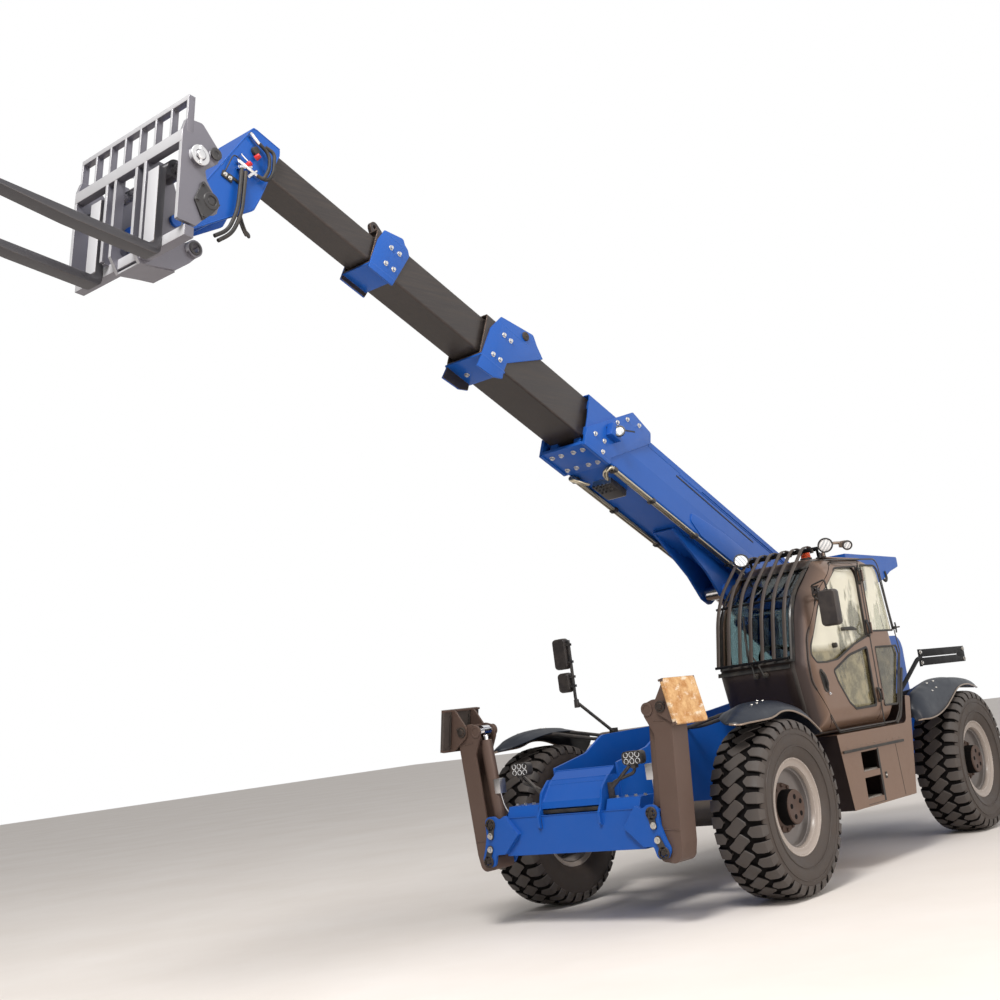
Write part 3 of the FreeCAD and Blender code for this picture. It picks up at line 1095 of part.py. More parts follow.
def engine_hood():
    low = 600.0
    cut = 30.0
    front, back, top = HOOD_FRONT_X, HOOD_REAR_X, HOOD_TOP
    outer = prism_xz([(front, low), (front, top - 140.0, 60.0), (front - 160.0, top, 120.0),
                      (back + 130.0, top, 120.0), (back, top - 140.0, 60.0), (back, low)],
                     -1140.0, -TROUGH_HALF - FRAME_PLATE - SEAT_GAP)
    inner = prism_xz([(front - cut, low - 1.0), (front - cut, top - 150.0, 50.0),
                      (front - 170.0, top - cut, 100.0), (back + 140.0, top - cut, 100.0),
                      (back + cut, top - 150.0, 50.0), (back + cut, low - 1.0)],
                     -1140.0 + cut, -TROUGH_HALF - FRAME_PLATE + 1.0)
    hood = outer.cut(inner)
    for i in range(10):
        x = HOOD_REAR_X + 280.0 + 60.0 * i
        hood = hood.cut(box(x, x + 30.0, -1150.0, -1100.0, 800.0, 1150.0))
    return hood


def drawn_in(outline, depth):
    """An arch's outline moved towards the wheel's centre by depth, in reverse order."""
    inner = []
    for x, z, radius in reversed(outline):
        keep = 1.0 - depth / math.hypot(x, z - TYRE_RADIUS)
        inner.append((x * keep, TYRE_RADIUS + (z - TYRE_RADIUS) * keep, radius))
    return inner


def fender(crown, lip):
    """Arched mudguard as a bent sheet with an outer skirt, on a strut from the frame."""
    y0, y1 = FENDER_IN_Y, FENDER_OUT_Y
    sheet = prism_xz(crown + drawn_in(crown, FENDER_SHEET), y0, y1)
    skirt = prism_xz(crown + lip[::-1], y1 - FENDER_SHEET, y1)
    top_z, top_x = max((z, x) for x, z, _ in crown)
    face = TROUGH_HALF + FRAME_PLATE + SEAT_GAP
    block = box(top_x - 20.0, top_x + 20.0, y0 + 20.0, y0 + 70.0, top_z - 45.0, top_z - 5.0)
    strut = rod((top_x, face - 30.0, top_z - 190.0), (top_x, y0 + 50.0, top_z - 34.0), 16.0)
    strut = strut.cut(box(top_x - 50.0, top_x + 50.0, 0.0, face, 500.0, 1500.0))
    return fuse([sheet, skirt, block, strut])


def fenders():
    shapes = []
    for x, crown, lip in FENDERS:
        shapes += both_sides(moved(fender(crown, lip), x, 0, 0))
    return Part.makeCompound(shapes)


def rear_housing():
    """Closed housing bolted behind the cab's rear upper edge."""
    return prism_xz(HOUSING, *HOUSING_Y).cut(cab_block(-SEAT_GAP, 300.0, 1200.0))


def rear_bracket():
    """Slotted pair of bars above the rear mudguard, on a bent arm from the cabinet's post."""
    foot_z = CABINET_POST_Z + SEAT_GAP
    y0, y1 = BRACKET_Y
    low, high = BRACKET_ZS
    back, end = CABINET_BACK_X, BRACKET_FRONT_X
    arm = prism_xz([(back - 190.0, foot_z), (back - 135.0, foot_z), (back - 165.0, foot_z + 85.0, 30.0),
                    (end + 40.0, low + 55.0, 30.0), (end - 35.0, low + 55.0), (end - 35.0, low - 5.0),
                    (back - 210.0, foot_z + 30.0, 20.0)], y0, y1)
    parts = [arm, box(BRACKET_FRONT_X - 50.0, BRACKET_FRONT_X - 5.0, y0 - 8.0, y0 + 2.0, low - 5.0, high + 45.0)]
    for z in BRACKET_ZS:
        parts.append(box(BRACKET_REAR_X, BRACKET_FRONT_X, y0, y0 + 22.0, z, z + BRACKET_BAR))
    parts.append(box(BRACKET_REAR_X, BRACKET_REAR_X + 60.0, y0, y0 + 22.0, low + BRACKET_BAR - 1.0, high + 1.0))
    return fuse(parts)


def lamps():
    """Work lamps on bent stalks beside the front plates."""
    y0, y1 = LAMP_Y
    z0, z1 = LAMP_Z
    base = box(1006.0, 1030.0, 290.0, 330.0, BEAM_TOP + 80.0 + SEAT_GAP, BEAM_TOP + 190.0)
    arm = rod((1020.0, 310.0, BEAM_TOP + 140.0), (1000.0, y0 + 50.0, z0 - 5.0), 13.0)
    body = prism_yz([(y0, z0, 30.0), (y1, z0, 30.0), (y1, z1, 30.0), (y0, z1, 30.0)], 950.0, 1010.0)
    return Part.makeCompound(both_sides(fuse([base, arm, body])))


def mirrors():
    """Far mirror on its bent post from the engine hood."""
    x, y = MIRROR_POST_X, MIRROR_POST_Y
    foot = box(MIRROR_FOOT_X - 45.0, MIRROR_FOOT_X + 35.0, MIRROR_FOOT_Y - 40.0, MIRROR_FOOT_Y + 40.0,
               HOOD_TOP + SEAT_GAP, HOOD_TOP + 30.0)
    arm = rod((MIRROR_FOOT_X, MIRROR_FOOT_Y, HOOD_TOP + 18.0), (x, y, 1610.0), 16.0)
    post = rod((x, y, 1600.0), (x, y, 2040.0), 13.0)
    head = box(x - 30.0, x + 30.0, *MIRROR_HEAD_Y, *MIRROR_HEAD_Z)
    clamp = box(x - 15.0, x + 15.0, y - 20.0, y + 10.0, 1900.0, 1930.0)
    return fuse([foot, arm, post, head, clamp])


def door_mirror():
    """Near mirror on an arm from the door's frame; it swings with the door."""
    face = CAB_OUT_Y + SEAT_GAP
    foot_x, foot_z = -988.0, 2185.0
    head_x, head_z = -820.0, 2190.0
    return fuse([box(foot_x - 18.0, foot_x + 18.0, face, face + 8.0, foot_z - 20.0, foot_z + 20.0),
                 rod((foot_x, face + 4.0, foot_z), (head_x, DOOR_MIRROR_IN_Y + 60.0, head_z), 9.0),
                 box(head_x - 32.0, head_x + 32.0, DOOR_MIRROR_IN_Y, DOOR_MIRROR_OUT_Y, 1924.0, 2208.0)])


BODIES = {
    "frame_main": frame_main,
    "counterweight": counterweight,
    "front_beam": front_beam,
    "driveline": driveline,
    "engine_hood": engine_hood,
    "step_cabinet": step_cabinet,
    "cab_shell": cab_shell,
    "cab_glass": cab_glass,
    "cab_guard": cab_guard,
    "cab_interior": cab_interior,
    "cab_door": cab_door,
    "door_glass": door_glass,
    "fenders": fenders,
    "rear_housing": rear_housing,
    "lamps": lamps,
    "mirrors": mirrors,
    "door_mirror": door_mirror,
    "rear_bracket": rear_bracket,
    "boom_outer": outer_boom,
    "boom_second": second_boom,
    "boom_third": third_boom,
    "boom_fourth": lambda: on_boom(section_tube("fourth")),
    "boom_head": boom_head,
    "boom_pipes": boom_pipes,
    "energy_chain": energy_chain,
    "lift_barrel": lambda: lift_ram(True),
    "lift_rod": lambda: lift_ram(False),
    "carriage": carriage,
    "forks": forks,
}


def all_nodes():
    nodes = {}
    for name, make in BODIES.items():
        nodes[name] = make()
    for tag, front, left in (("fl", True, True), ("fr", True, False), ("rl", False, True), ("rr", False, False)):
        nodes["wheel_" + tag] = wheel(front, left)
        nodes["knuckle_" + tag] = knuckle(front, left)
    for tag, left in (("l", True), ("r", False)):
        nodes["leg_" + tag] = leg(left)
        nodes["foot_" + tag] = foot(left)
        nodes["leg_barrel_" + tag] = leg_ram(True, left)
        nodes["leg_rod_" + tag] = leg_ram(False, left)
    return nodes


def base_point(nodes):
    """Middle of the machine's box on the ground, to become the origin."""
    ends = [s.BoundBox for s in nodes.values()]
    return ((min(b.XMin for b in ends) + max(b.XMax for b in ends)) / 2.0,
            (min(b.YMin for b in ends) + max(b.YMax for b in ends)) / 2.0,
            min(b.ZMin for b in ends))


def main():
    os.makedirs("parts", exist_ok=True)
    nodes = all_nodes()
    x, y, z = base_point(nodes)
    for name, shape in nodes.items():
        moved(shape, -x, -y, -z).exportStep("parts/" + name + ".step")
    print("origin", round(x, 3), round(y, 3), round(z, 3))


main()
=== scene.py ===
import math

import bmesh
import bpy
from mathutils import Matrix, Vector

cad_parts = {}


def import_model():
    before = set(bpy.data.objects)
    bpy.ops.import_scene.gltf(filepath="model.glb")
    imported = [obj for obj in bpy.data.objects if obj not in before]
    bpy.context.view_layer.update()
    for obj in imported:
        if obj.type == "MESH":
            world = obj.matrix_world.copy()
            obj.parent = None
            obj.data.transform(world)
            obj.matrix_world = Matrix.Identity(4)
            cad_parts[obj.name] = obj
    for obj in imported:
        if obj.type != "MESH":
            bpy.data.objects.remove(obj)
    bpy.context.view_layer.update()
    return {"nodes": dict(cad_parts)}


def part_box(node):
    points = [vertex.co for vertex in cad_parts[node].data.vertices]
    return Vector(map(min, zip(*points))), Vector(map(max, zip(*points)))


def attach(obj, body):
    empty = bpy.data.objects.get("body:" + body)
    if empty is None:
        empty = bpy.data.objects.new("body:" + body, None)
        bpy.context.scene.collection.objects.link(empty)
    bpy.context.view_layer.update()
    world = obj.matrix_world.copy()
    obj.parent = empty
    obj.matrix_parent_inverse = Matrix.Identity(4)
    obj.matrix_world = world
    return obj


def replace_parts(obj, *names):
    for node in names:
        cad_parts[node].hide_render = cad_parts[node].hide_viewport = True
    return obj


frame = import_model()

# Looks of the telescopic handler. Lengths are millimetres in the same axes as the
# source: X forward from the front axle, Y to the left, Z up. SHOP turns them into
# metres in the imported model's own frame.

MM = 0.001
wheel_low, wheel_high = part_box("wheel_fl")
AXLE_X = (wheel_low.x + wheel_high.x) / 2.0
MIDDLE_Y = (wheel_high.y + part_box("wheel_fr")[0].y) / 2.0
SHOP = Matrix.Translation((AXLE_X, MIDDLE_Y, 0)) @ Matrix.Scale(MM, 4)

WHEELBASE = 3600.0
HALF_TRACK = 1035.0
TYRE_RADIUS = 640.0
BOOM_PIVOT = Vector((-4250.0, 0, 1600.0))
BOOM_ANGLE = 24.8
NOSE = Vector((9006.0, 0, -958.0))
CARRIAGE_PITCH = 10.0
BOOM = SHOP @ Matrix.Translation(BOOM_PIVOT) @ Matrix.Rotation(math.radians(-BOOM_ANGLE), 4, "Y")
CARRIAGE = (SHOP @ Matrix.Translation(SHOP.inverted() @ BOOM @ NOSE)
            @ Matrix.Rotation(math.radians(-CARRIAGE_PITCH), 4, "Y"))
LEG_LEAN = 4.1
PAD_LEAN = 11.3
LEG_PIN = (1040.0, 780.0, 500.0)
FOOT_PIN = (0.0, 60.0, 977.0)
LEG = Matrix.Translation(LEG_PIN) @ Matrix.Rotation(math.radians(-LEG_LEAN), 4, "X")
FOOT = LEG @ Matrix.Translation(FOOT_PIN) @ Matrix.Rotation(math.radians(LEG_LEAN + PAD_LEAN), 4, "X")
FLIP_Y = Matrix.Scale(-1, 4, (0, 1, 0))
SIDES = (1.0, -1.0)
ORIGIN = (0, 0, 0)
SIDEWAYS = (0, 1, 0)


def on_side(place, left):
    """A place on the left side, or its mirror image on the right."""
    return SHOP @ (place if left else FLIP_Y @ place)


def span(side, a, b):
    """Two distances from the middle as low and high Y on one side."""
    return sorted((side * a, side * b))


def around(count, radius, start=0.0):
    """Points at even steps round a circle, the first at start degrees."""
    turns = [math.radians(360.0 / count * i + start) for i in range(count)]
    return [(radius * math.cos(t), radius * math.sin(t)) for t in turns]


# Materials

class Look:
    """A material's node tree, built around its Principled shader."""

    def __init__(self, name, rough=0.5, metal=0.0):
        self.mat = bpy.data.materials.new(name)
        self.mat.use_nodes = True
        self.tree = self.mat.node_tree
        self.shader = self.tree.nodes["Principled BSDF"]
        self.shader.inputs["Roughness"].default_value = rough
        self.shader.inputs["Metallic"].default_value = metal
        self.coords = self.add("ShaderNodeTexCoord").outputs["Object"]

    def add(self, kind, **inputs):
        node = self.tree.nodes.new(kind)
        for key, value in inputs.items():
            socket = node.inputs[int(key[1:])] if key[0] == "i" and key[1:].isdigit() else node.inputs[key]
            if isinstance(value, bpy.types.NodeSocket):
                self.tree.links.new(value, socket)
            else:
                socket.default_value = value
        return node

    def stretched(self, scale, tilt=0.0):
        return self.add("ShaderNodeMapping", Vector=self.coords, Scale=scale,
                        Rotation=(0, math.radians(tilt), 0)).outputs[0]

    def noise(self, scale, detail=4.0, rough=0.55, at=None):
        return self.add("ShaderNodeTexNoise", Vector=at or self.coords, Scale=scale,
                        Detail=detail, Roughness=rough).outputs[0]

    def ramp(self, value, low, high):
        node = self.add("ShaderNodeMapRange", Value=value)
        node.inputs["From Min"].default_value = low
        node.inputs["From Max"].default_value = high
        return node.outputs[0]

    def times(self, a, b):
        node = self.add("ShaderNodeMath", i0=a, i1=b)
        node.operation = "MULTIPLY"
        return node.outputs[0]

    def plus(self, a, b):
        node = self.add("ShaderNodeMath", i0=a, i1=b)
        node.use_clamp = True
        return node.outputs[0]

    def mix(self, share, a, b):
        node = self.tree.nodes.new("ShaderNodeMix")
        node.data_type = "RGBA"
        for socket, value in ((node.inputs[0], share), (node.inputs[6], a), (node.inputs[7], b)):
            if isinstance(value, bpy.types.NodeSocket):
                self.tree.links.new(value, socket)
            else:
                socket.default_value = value if isinstance(value, float) else (*value, 1.0)
        return node.outputs[2]

    def edges(self, radius, samples=4):
        """Share of worn edge, and the softened normal it comes from."""
        soft = self.add("ShaderNodeBevel", Radius=radius)
        soft.samples = samples
        flat = self.add("ShaderNodeNewGeometry").outputs["Normal"]
        dot = self.add("ShaderNodeVectorMath", i0=soft.outputs[0], i1=flat)
        dot.operation = "DOT_PRODUCT"
        return self.ramp(dot.outputs["Value"], 0.995, 0.90), soft.outputs[0]

    def upward(self):
        """Share of a surface that faces up: where dust lies, and where the boom's sections get a painted highlight."""
        normal = self.add("ShaderNodeNewGeometry").outputs["Normal"]
        z = self.add("ShaderNodeSeparateXYZ", Vector=normal).outputs[2]
        return self.ramp(z, 0.35, 1.0)

    def forward(self, low, high):
        """Share of a surface that looks along +X."""
        normal = self.add("ShaderNodeNewGeometry").outputs["Normal"]
        return self.ramp(self.add("ShaderNodeSeparateXYZ", Vector=normal).outputs[0], low, high)

    def set(self, key, value):
        socket = self.shader.inputs[key]
        if isinstance(value, bpy.types.NodeSocket):
            self.tree.links.new(value, socket)
        elif isinstance(value, tuple):
            socket.default_value = (*value, 1.0)
        else:
            socket.default_value = value

    def bump(self, height, strength, distance=0.002, normal=None):
        node = self.add("ShaderNodeBump", Height=height, Strength=strength, Distance=distance)
        if normal:
            self.tree.links.new(normal, node.inputs["Normal"])
        self.set("Normal", node.outputs[0])


DUST = (0.36, 0.28, 0.21)


def painted(name, colour, worn, rough=0.32, dust=0.25, wear=0.35, coat=0.35, metal=0.0, fade=0.25, gloss=0.5,
            painted_facing_light=None):
    """Sprayed paint with a faint fade, dust on level faces, specks and rubbed edges.

    The last argument is a tone painted on faces that look forward, as painted shade or a painted reflection, and the
    share of forward at which it starts and ends."""
    look = Look(name, rough, metal)
    broad = look.ramp(look.noise(1.3, 3.0), 0.35, 0.68)
    pale = tuple(min(1.0, c * 1.35 + 0.012) for c in colour)
    tone = look.mix(look.times(broad, fade), colour, pale)
    speck = look.ramp(look.noise(95.0, 3.0), 0.66, 0.74)
    tone = look.mix(look.times(speck, 0.18), tone, worn)
    patch = look.ramp(look.noise(7.0, 6.0, 0.7), 0.42, 0.72)
    dusty = look.times(look.plus(look.times(look.upward(), 0.9), look.times(patch, 0.25)), dust)
    tone = look.mix(dusty, tone, DUST)
    # Painted light: faces that look forward get a tone that stands in for shade or a reflection.
    if painted_facing_light:
        tone = look.mix(look.forward(painted_facing_light[1], painted_facing_light[2]), tone, painted_facing_light[0])
    edge, soft = look.edges(0.004)
    ragged = look.times(edge, look.ramp(look.noise(38.0, 5.0), 0.38, 0.62))
    tone = look.mix(look.times(ragged, wear), tone, worn)
    look.set("Base Color", tone)
    look.set("Roughness", look.plus(rough, look.plus(look.times(dusty, 0.5), look.times(patch, 0.10))))
    look.bump(look.noise(420.0, 2.0), 0.05, 0.0006, soft)
    look.set("Coat Weight", coat)
    look.set("Coat Roughness", 0.12)
    look.set("Specular IOR Level", gloss)
    return look.mat


def boom_steel(name, colour):
    """Dark painted section with long rub marks along the boom and brown edges, and a painted highlight that makes its
    top faces pale grey.
    """
    look = Look(name, 0.42, 0.25)
    along = look.stretched((0.35, 9.0, 9.0), BOOM_ANGLE)
    streak = look.ramp(look.noise(7.0, 8.0, 0.75, along), 0.45, 0.72)
    fine = look.ramp(look.noise(26.0, 6.0, 0.8, look.stretched((0.12, 16.0, 16.0), BOOM_ANGLE)), 0.55, 0.70)
    broad = look.ramp(look.noise(1.1, 3.0), 0.35, 0.7)
    tone = look.mix(look.times(broad, 0.4), colour, tuple(c * 1.6 + 0.004 for c in colour))
    tone = look.mix(look.times(streak, 0.30), tone, (0.105, 0.082, 0.065))
    tone = look.mix(look.times(fine, 0.22), tone, (0.20, 0.18, 0.165))
    edge, soft = look.edges(0.010)
    tone = look.mix(look.times(edge, 0.65), tone, (0.15, 0.075, 0.04))
    # Painted highlight: faces that look up are painted pale grey, as if lit from above.
    tone = look.mix(look.times(look.upward(), 0.75), tone, (0.26, 0.235, 0.225))
    look.set("Base Color", tone)
    look.set("Roughness", look.plus(0.30, look.times(streak, 0.28)))
    look.bump(fine, 0.06, 0.0008, soft)
    return look.mat


def rubber(name, colour=(0.034, 0.030, 0.028)):
    """Tyre rubber, browner with dust in the grooves and on the walls."""
    look = Look(name, 0.72)
    cloud = look.ramp(look.noise(9.0, 6.0, 0.7), 0.35, 0.75)
    tone = look.mix(look.times(cloud, 0.40), colour, (0.080, 0.058, 0.045))
    speck = look.ramp(look.noise(160.0, 4.0, 0.7), 0.6, 0.75)
    tone = look.mix(look.times(speck, 0.20), tone, (0.14, 0.105, 0.08))
    look.set("Base Color", tone)
    look.set("Roughness", look.plus(0.52, look.times(cloud, 0.25)))
    look.bump(look.noise(260.0, 5.0, 0.7), 0.22, 0.0012)
    return look.mat


def moulded(name, colour, rough=0.5, grain=220.0, dust=0.12, gloss=0.5):
    """Grained plastic or rubber trim."""
    look = Look(name, rough)
    patch = look.ramp(look.noise(11.0, 5.0, 0.6), 0.4, 0.75)
    tone = look.mix(look.times(patch, dust), colour, DUST)
    tone = look.mix(look.times(look.upward(), dust), tone, DUST)
    look.set("Base Color", tone)
    look.set("Roughness", look.plus(rough, look.times(patch, 0.12)))
    look.bump(look.noise(grain, 3.0), 0.16, 0.0008)
    look.set("Specular IOR Level", gloss)
    return look.mat


def bare_metal(name, colour, rough=0.3, stain=(0.20, 0.13, 0.08), amount=0.25, metal=1.0):
    look = Look(name, rough, metal)
    spot = look.ramp(look.noise(34.0, 7.0, 0.75), 0.52, 0.74)
    tone = look.mix(look.times(spot, amount), colour, stain)
    look.set("Base Color", tone)
    look.set("Roughness", look.plus(rough, look.times(spot, 0.3)))
    look.bump(look.noise(180.0, 4.0), 0.08, 0.0006)
    return look.mat


def pane(name):
    """Cab glass: green and clear in front; the side panes carry a painted reflection, pale above and darker below, with
    clear patches.
    """
    look = Look(name, 0.03)
    haze = look.ramp(look.noise(5.0, 6.0, 0.7), 0.45, 0.8)
    place = look.add("ShaderNodeSeparateXYZ", Vector=look.coords)
    side = look.ramp(place.outputs[1], MIDDLE_Y + 1.08, MIDDLE_Y + 1.11)
    low = look.ramp(place.outputs[2], 1.80, 1.74)
    # Painted reflection on the side panes: pale where the sky would show, darker low down where the ground would; it
    # also makes them less clear.
    reflection_blotch = look.ramp(look.noise(2.6, 4.0, 0.6, look.stretched((1.0, 1.0, 0.45), 18.0)), 0.50, 0.56)
    painted_reflection = look.mix(low, look.mix(reflection_blotch, (0.90, 0.87, 0.72), (0.62, 0.60, 0.46)),
                    look.mix(look.ramp(look.noise(9.0, 5.0, 0.7), 0.42, 0.62), (0.36, 0.31, 0.17), (0.17, 0.15, 0.08)))
    clear = look.mix(look.times(haze, 0.10), (0.32, 0.42, 0.43), (0.75, 0.74, 0.70))
    look.set("Base Color", look.mix(side, clear, painted_reflection))
    look.set("Roughness", look.plus(0.03, look.times(haze, 0.05)))
    reflection_cover = look.times(side, look.plus(0.72, look.times(reflection_blotch, -0.50)))
    see = look.add("ShaderNodeMath", i0=1.0, i1=reflection_cover)
    see.operation = "SUBTRACT"
    look.set("Transmission Weight", see.outputs[0])
    look.set("IOR", 1.45)
    return look.mat


def lamp_lens(name):
    """Clear ribbed lens over a bright reflector."""
    look = Look(name, 0.12, 0.0)
    wave = look.add("ShaderNodeTexWave", Vector=look.coords, Scale=16.0, Distortion=0.6)
    ribs = look.ramp(wave.outputs["Fac"], 0.30, 0.70)
    look.set("Base Color", look.mix(ribs, (0.50, 0.53, 0.56), (0.88, 0.89, 0.90)))
    look.set("Roughness", look.plus(0.10, look.times(ribs, 0.10)))
    look.set("Coat Weight", 0.6)
    return look.mat


def ground_pad(name):
    """Underside of a stabiliser pad: ochre rust, scraped bright and chalky in patches."""
    look = Look(name, 0.75)
    cloud = look.ramp(look.noise(13.0, 8.0, 0.72), 0.38, 0.62)
    tone = look.mix(cloud, (0.42, 0.19, 0.055), (0.66, 0.42, 0.20))
    chalk = look.ramp(look.noise(8.0, 6.0, 0.66, look.stretched((1.0, 1.0, 2.2))), 0.55, 0.66)
    tone = look.mix(look.times(chalk, 0.85), tone, (0.78, 0.70, 0.58))
    dark = look.ramp(look.noise(21.0, 5.0, 0.7), 0.62, 0.70)
    tone = look.mix(look.times(dark, 0.6), tone, (0.10, 0.05, 0.03))
    look.set("Base Color", tone)
    look.bump(look.noise(60.0, 8.0, 0.75), 0.45, 0.002)
    return look.mat


BLUE = (0.006, 0.080, 0.37)
BRONZE = (0.225, 0.142, 0.100)

# Painted reflection: a pale tone on the forward faces of the carriage and forks, as if a bright sky showed in them.
PAINTED_SKY_REFLECTION = ((0.66, 0.66, 0.69), 0.86, 0.95)

FINISHES = {
    "blue": painted("blue_paint", BLUE, (0.07, 0.16, 0.40), rough=0.34, dust=0.05, wear=0.30, coat=0.12, fade=0.10,
                    gloss=0.28),
    # Painted shade: bronze faces that look forward, such as the cab's front panel, are painted nearly black.
    "bronze": painted("bronze_paint", BRONZE, (0.30, 0.20, 0.15), rough=0.36, dust=0.08, wear=0.2, coat=0.10,
                      metal=0.65,
                      fade=0.12, painted_facing_light=((0.040, 0.028, 0.026), 0.10, 0.62)),
    "leg": painted("leg_paint", (0.108, 0.070, 0.056), (0.19, 0.12, 0.09), rough=0.42, dust=0.10, coat=0.05, metal=0.2,
                   gloss=0.35),
    "far_leg": painted("pad_paint", (0.060, 0.050, 0.045), (0.18, 0.15, 0.13), rough=0.42, dust=0.12, coat=0.05,
                       gloss=0.4),
    "dark": painted("dark_paint", (0.020, 0.019, 0.021), (0.09, 0.085, 0.085), rough=0.42, dust=0.10, coat=0.1),
    "iron": painted("cast_iron", (0.030, 0.024, 0.021), (0.07, 0.05, 0.04), rough=0.6, dust=0.22, coat=0.0, gloss=0.3),
    "section": boom_steel("section_steel", (0.030, 0.025, 0.024)),
    "tyre": rubber("tyre_rubber", (0.058, 0.050, 0.046)),
    "groove": rubber("tyre_wall", (0.040, 0.030, 0.025)),
    "rim": painted("rim_paint", (0.30, 0.255, 0.225), (0.85, 0.80, 0.74), rough=0.34, dust=0.12, wear=0.95, coat=0.1),
    # Painted shade: the rim's well and disc in a darker copy of the rim's paint, where the deep well lies in shade.
    "rim_well": painted("rim_well_painted_shade", (0.175, 0.160, 0.155), (0.26, 0.20, 0.16), rough=0.5, dust=0.15, wear=0.4,
                        coat=0.0),
    "hub": painted("hub_paint", (0.062, 0.036, 0.027), (0.14, 0.10, 0.08), rough=0.5, dust=0.15, coat=0.0, gloss=0.3),
    "plastic": moulded("black_plastic", (0.020, 0.020, 0.022), 0.42),
    "fender": moulded("fender_plastic", (0.010, 0.014, 0.024), 0.36, 420.0, 0.0, 0.40),
    "black": moulded("black_paint", (0.005, 0.005, 0.006), 0.5, 220.0, 0.0, 0.15),
    "led": moulded("lamp_led", (0.85, 0.86, 0.88), 0.15, 60.0, 0.0),
    "cap": moulded("red_cap", (0.55, 0.02, 0.02), 0.3, 220.0, 0.0),
    # Painted shade: near black for the floor of the tread's grooves, the sides of its blocks and the hub's holes.
    "shadow": moulded("tread_groove_painted_shade", (0.007, 0.006, 0.006), 0.8, 220.0, 0.0, 0.1),
    "seal": moulded("black_rubber", (0.012, 0.012, 0.012), 0.6),
    "bolt": bare_metal("zinc_bolt", (0.72, 0.70, 0.66), 0.32),
    "chrome": bare_metal("chrome_rod", (0.80, 0.80, 0.82), 0.12, amount=0.06),
    "galvanised": bare_metal("galvanised", (0.66, 0.66, 0.67), 0.38, (0.42, 0.42, 0.43), 0.6),
    "pipe": bare_metal("hard_pipe", (0.66, 0.60, 0.46), 0.30, (0.30, 0.24, 0.16), 0.35),
    "glass": pane("cab_glass"),
    "pad": ground_pad("ground_pad"),
    "frame": painted("frame_paint", (0.020, 0.015, 0.013), (0.09, 0.07, 0.06), rough=0.38, dust=0.06, coat=0.2),
    "lens": lamp_lens("lamp_lens"),
    "beacon": moulded("beacon_orange", (0.90, 0.10, 0.012), 0.18, 60.0, 0.03),
    "mirror": bare_metal("mirror_glass", (0.82, 0.84, 0.86), 0.03, amount=0.03),
    "shell": moulded("mirror_shell", (0.030, 0.025, 0.025), 0.45, 420.0, 0.08),
    "guard": painted("guard_paint", (0.050, 0.038, 0.032), (0.16, 0.12, 0.10), rough=0.42, dust=0.08, wear=0.4,
                     coat=0.05),
    "bare": bare_metal("worn_step", (0.42, 0.38, 0.34), 0.42, (0.14, 0.09, 0.06), 0.6),
    # Carriage and forks: their forward faces carry the painted sky reflection.
    "carriage": painted("carriage_paint", (0.150, 0.146, 0.172), (0.38, 0.37, 0.38), rough=0.34, dust=0.05, wear=0.5,
                        coat=0.15, metal=0.3, painted_facing_light=PAINTED_SKY_REFLECTION),
    "fork": painted("fork_paint", (0.040, 0.039, 0.045), (0.15, 0.10, 0.07), rough=0.36, dust=0.06, wear=0.6, coat=0.1,
                    metal=0.2, painted_facing_light=PAINTED_SKY_REFLECTION),
    "shaft": bare_metal("carriage_shaft", (0.60, 0.60, 0.62), 0.26, (0.20, 0.18, 0.17), 0.4),
    # Painted shade: near black for the boom's slots and the line along its side.
    "painted_slot_shade": moulded("groove_shadow", (0.006, 0.010, 0.022), 0.6),
    "lip": painted("bronze_lip", (0.23, 0.175, 0.135), (0.36, 0.30, 0.25), rough=0.30, dust=0.1, coat=0.3, metal=0.4),
}


def dress(node, key, bevel=0.0):
    """A CAD node's finish, and its corners rounded where asked."""
    piece = frame["nodes"][node]
    piece.data.materials.clear()
    piece.data.materials.append(FINISHES[key])
    if bevel:
        weld = piece.modifiers.new("weld", "WELD")
        weld.merge_threshold = 0.00002
        round_off = piece.modifiers.new("round", "BEVEL")
        round_off.width = bevel * MM
        round_off.segments = 2
        round_off.limit_method = "ANGLE"
        round_off.angle_limit = math.radians(35.0)


# Shapes

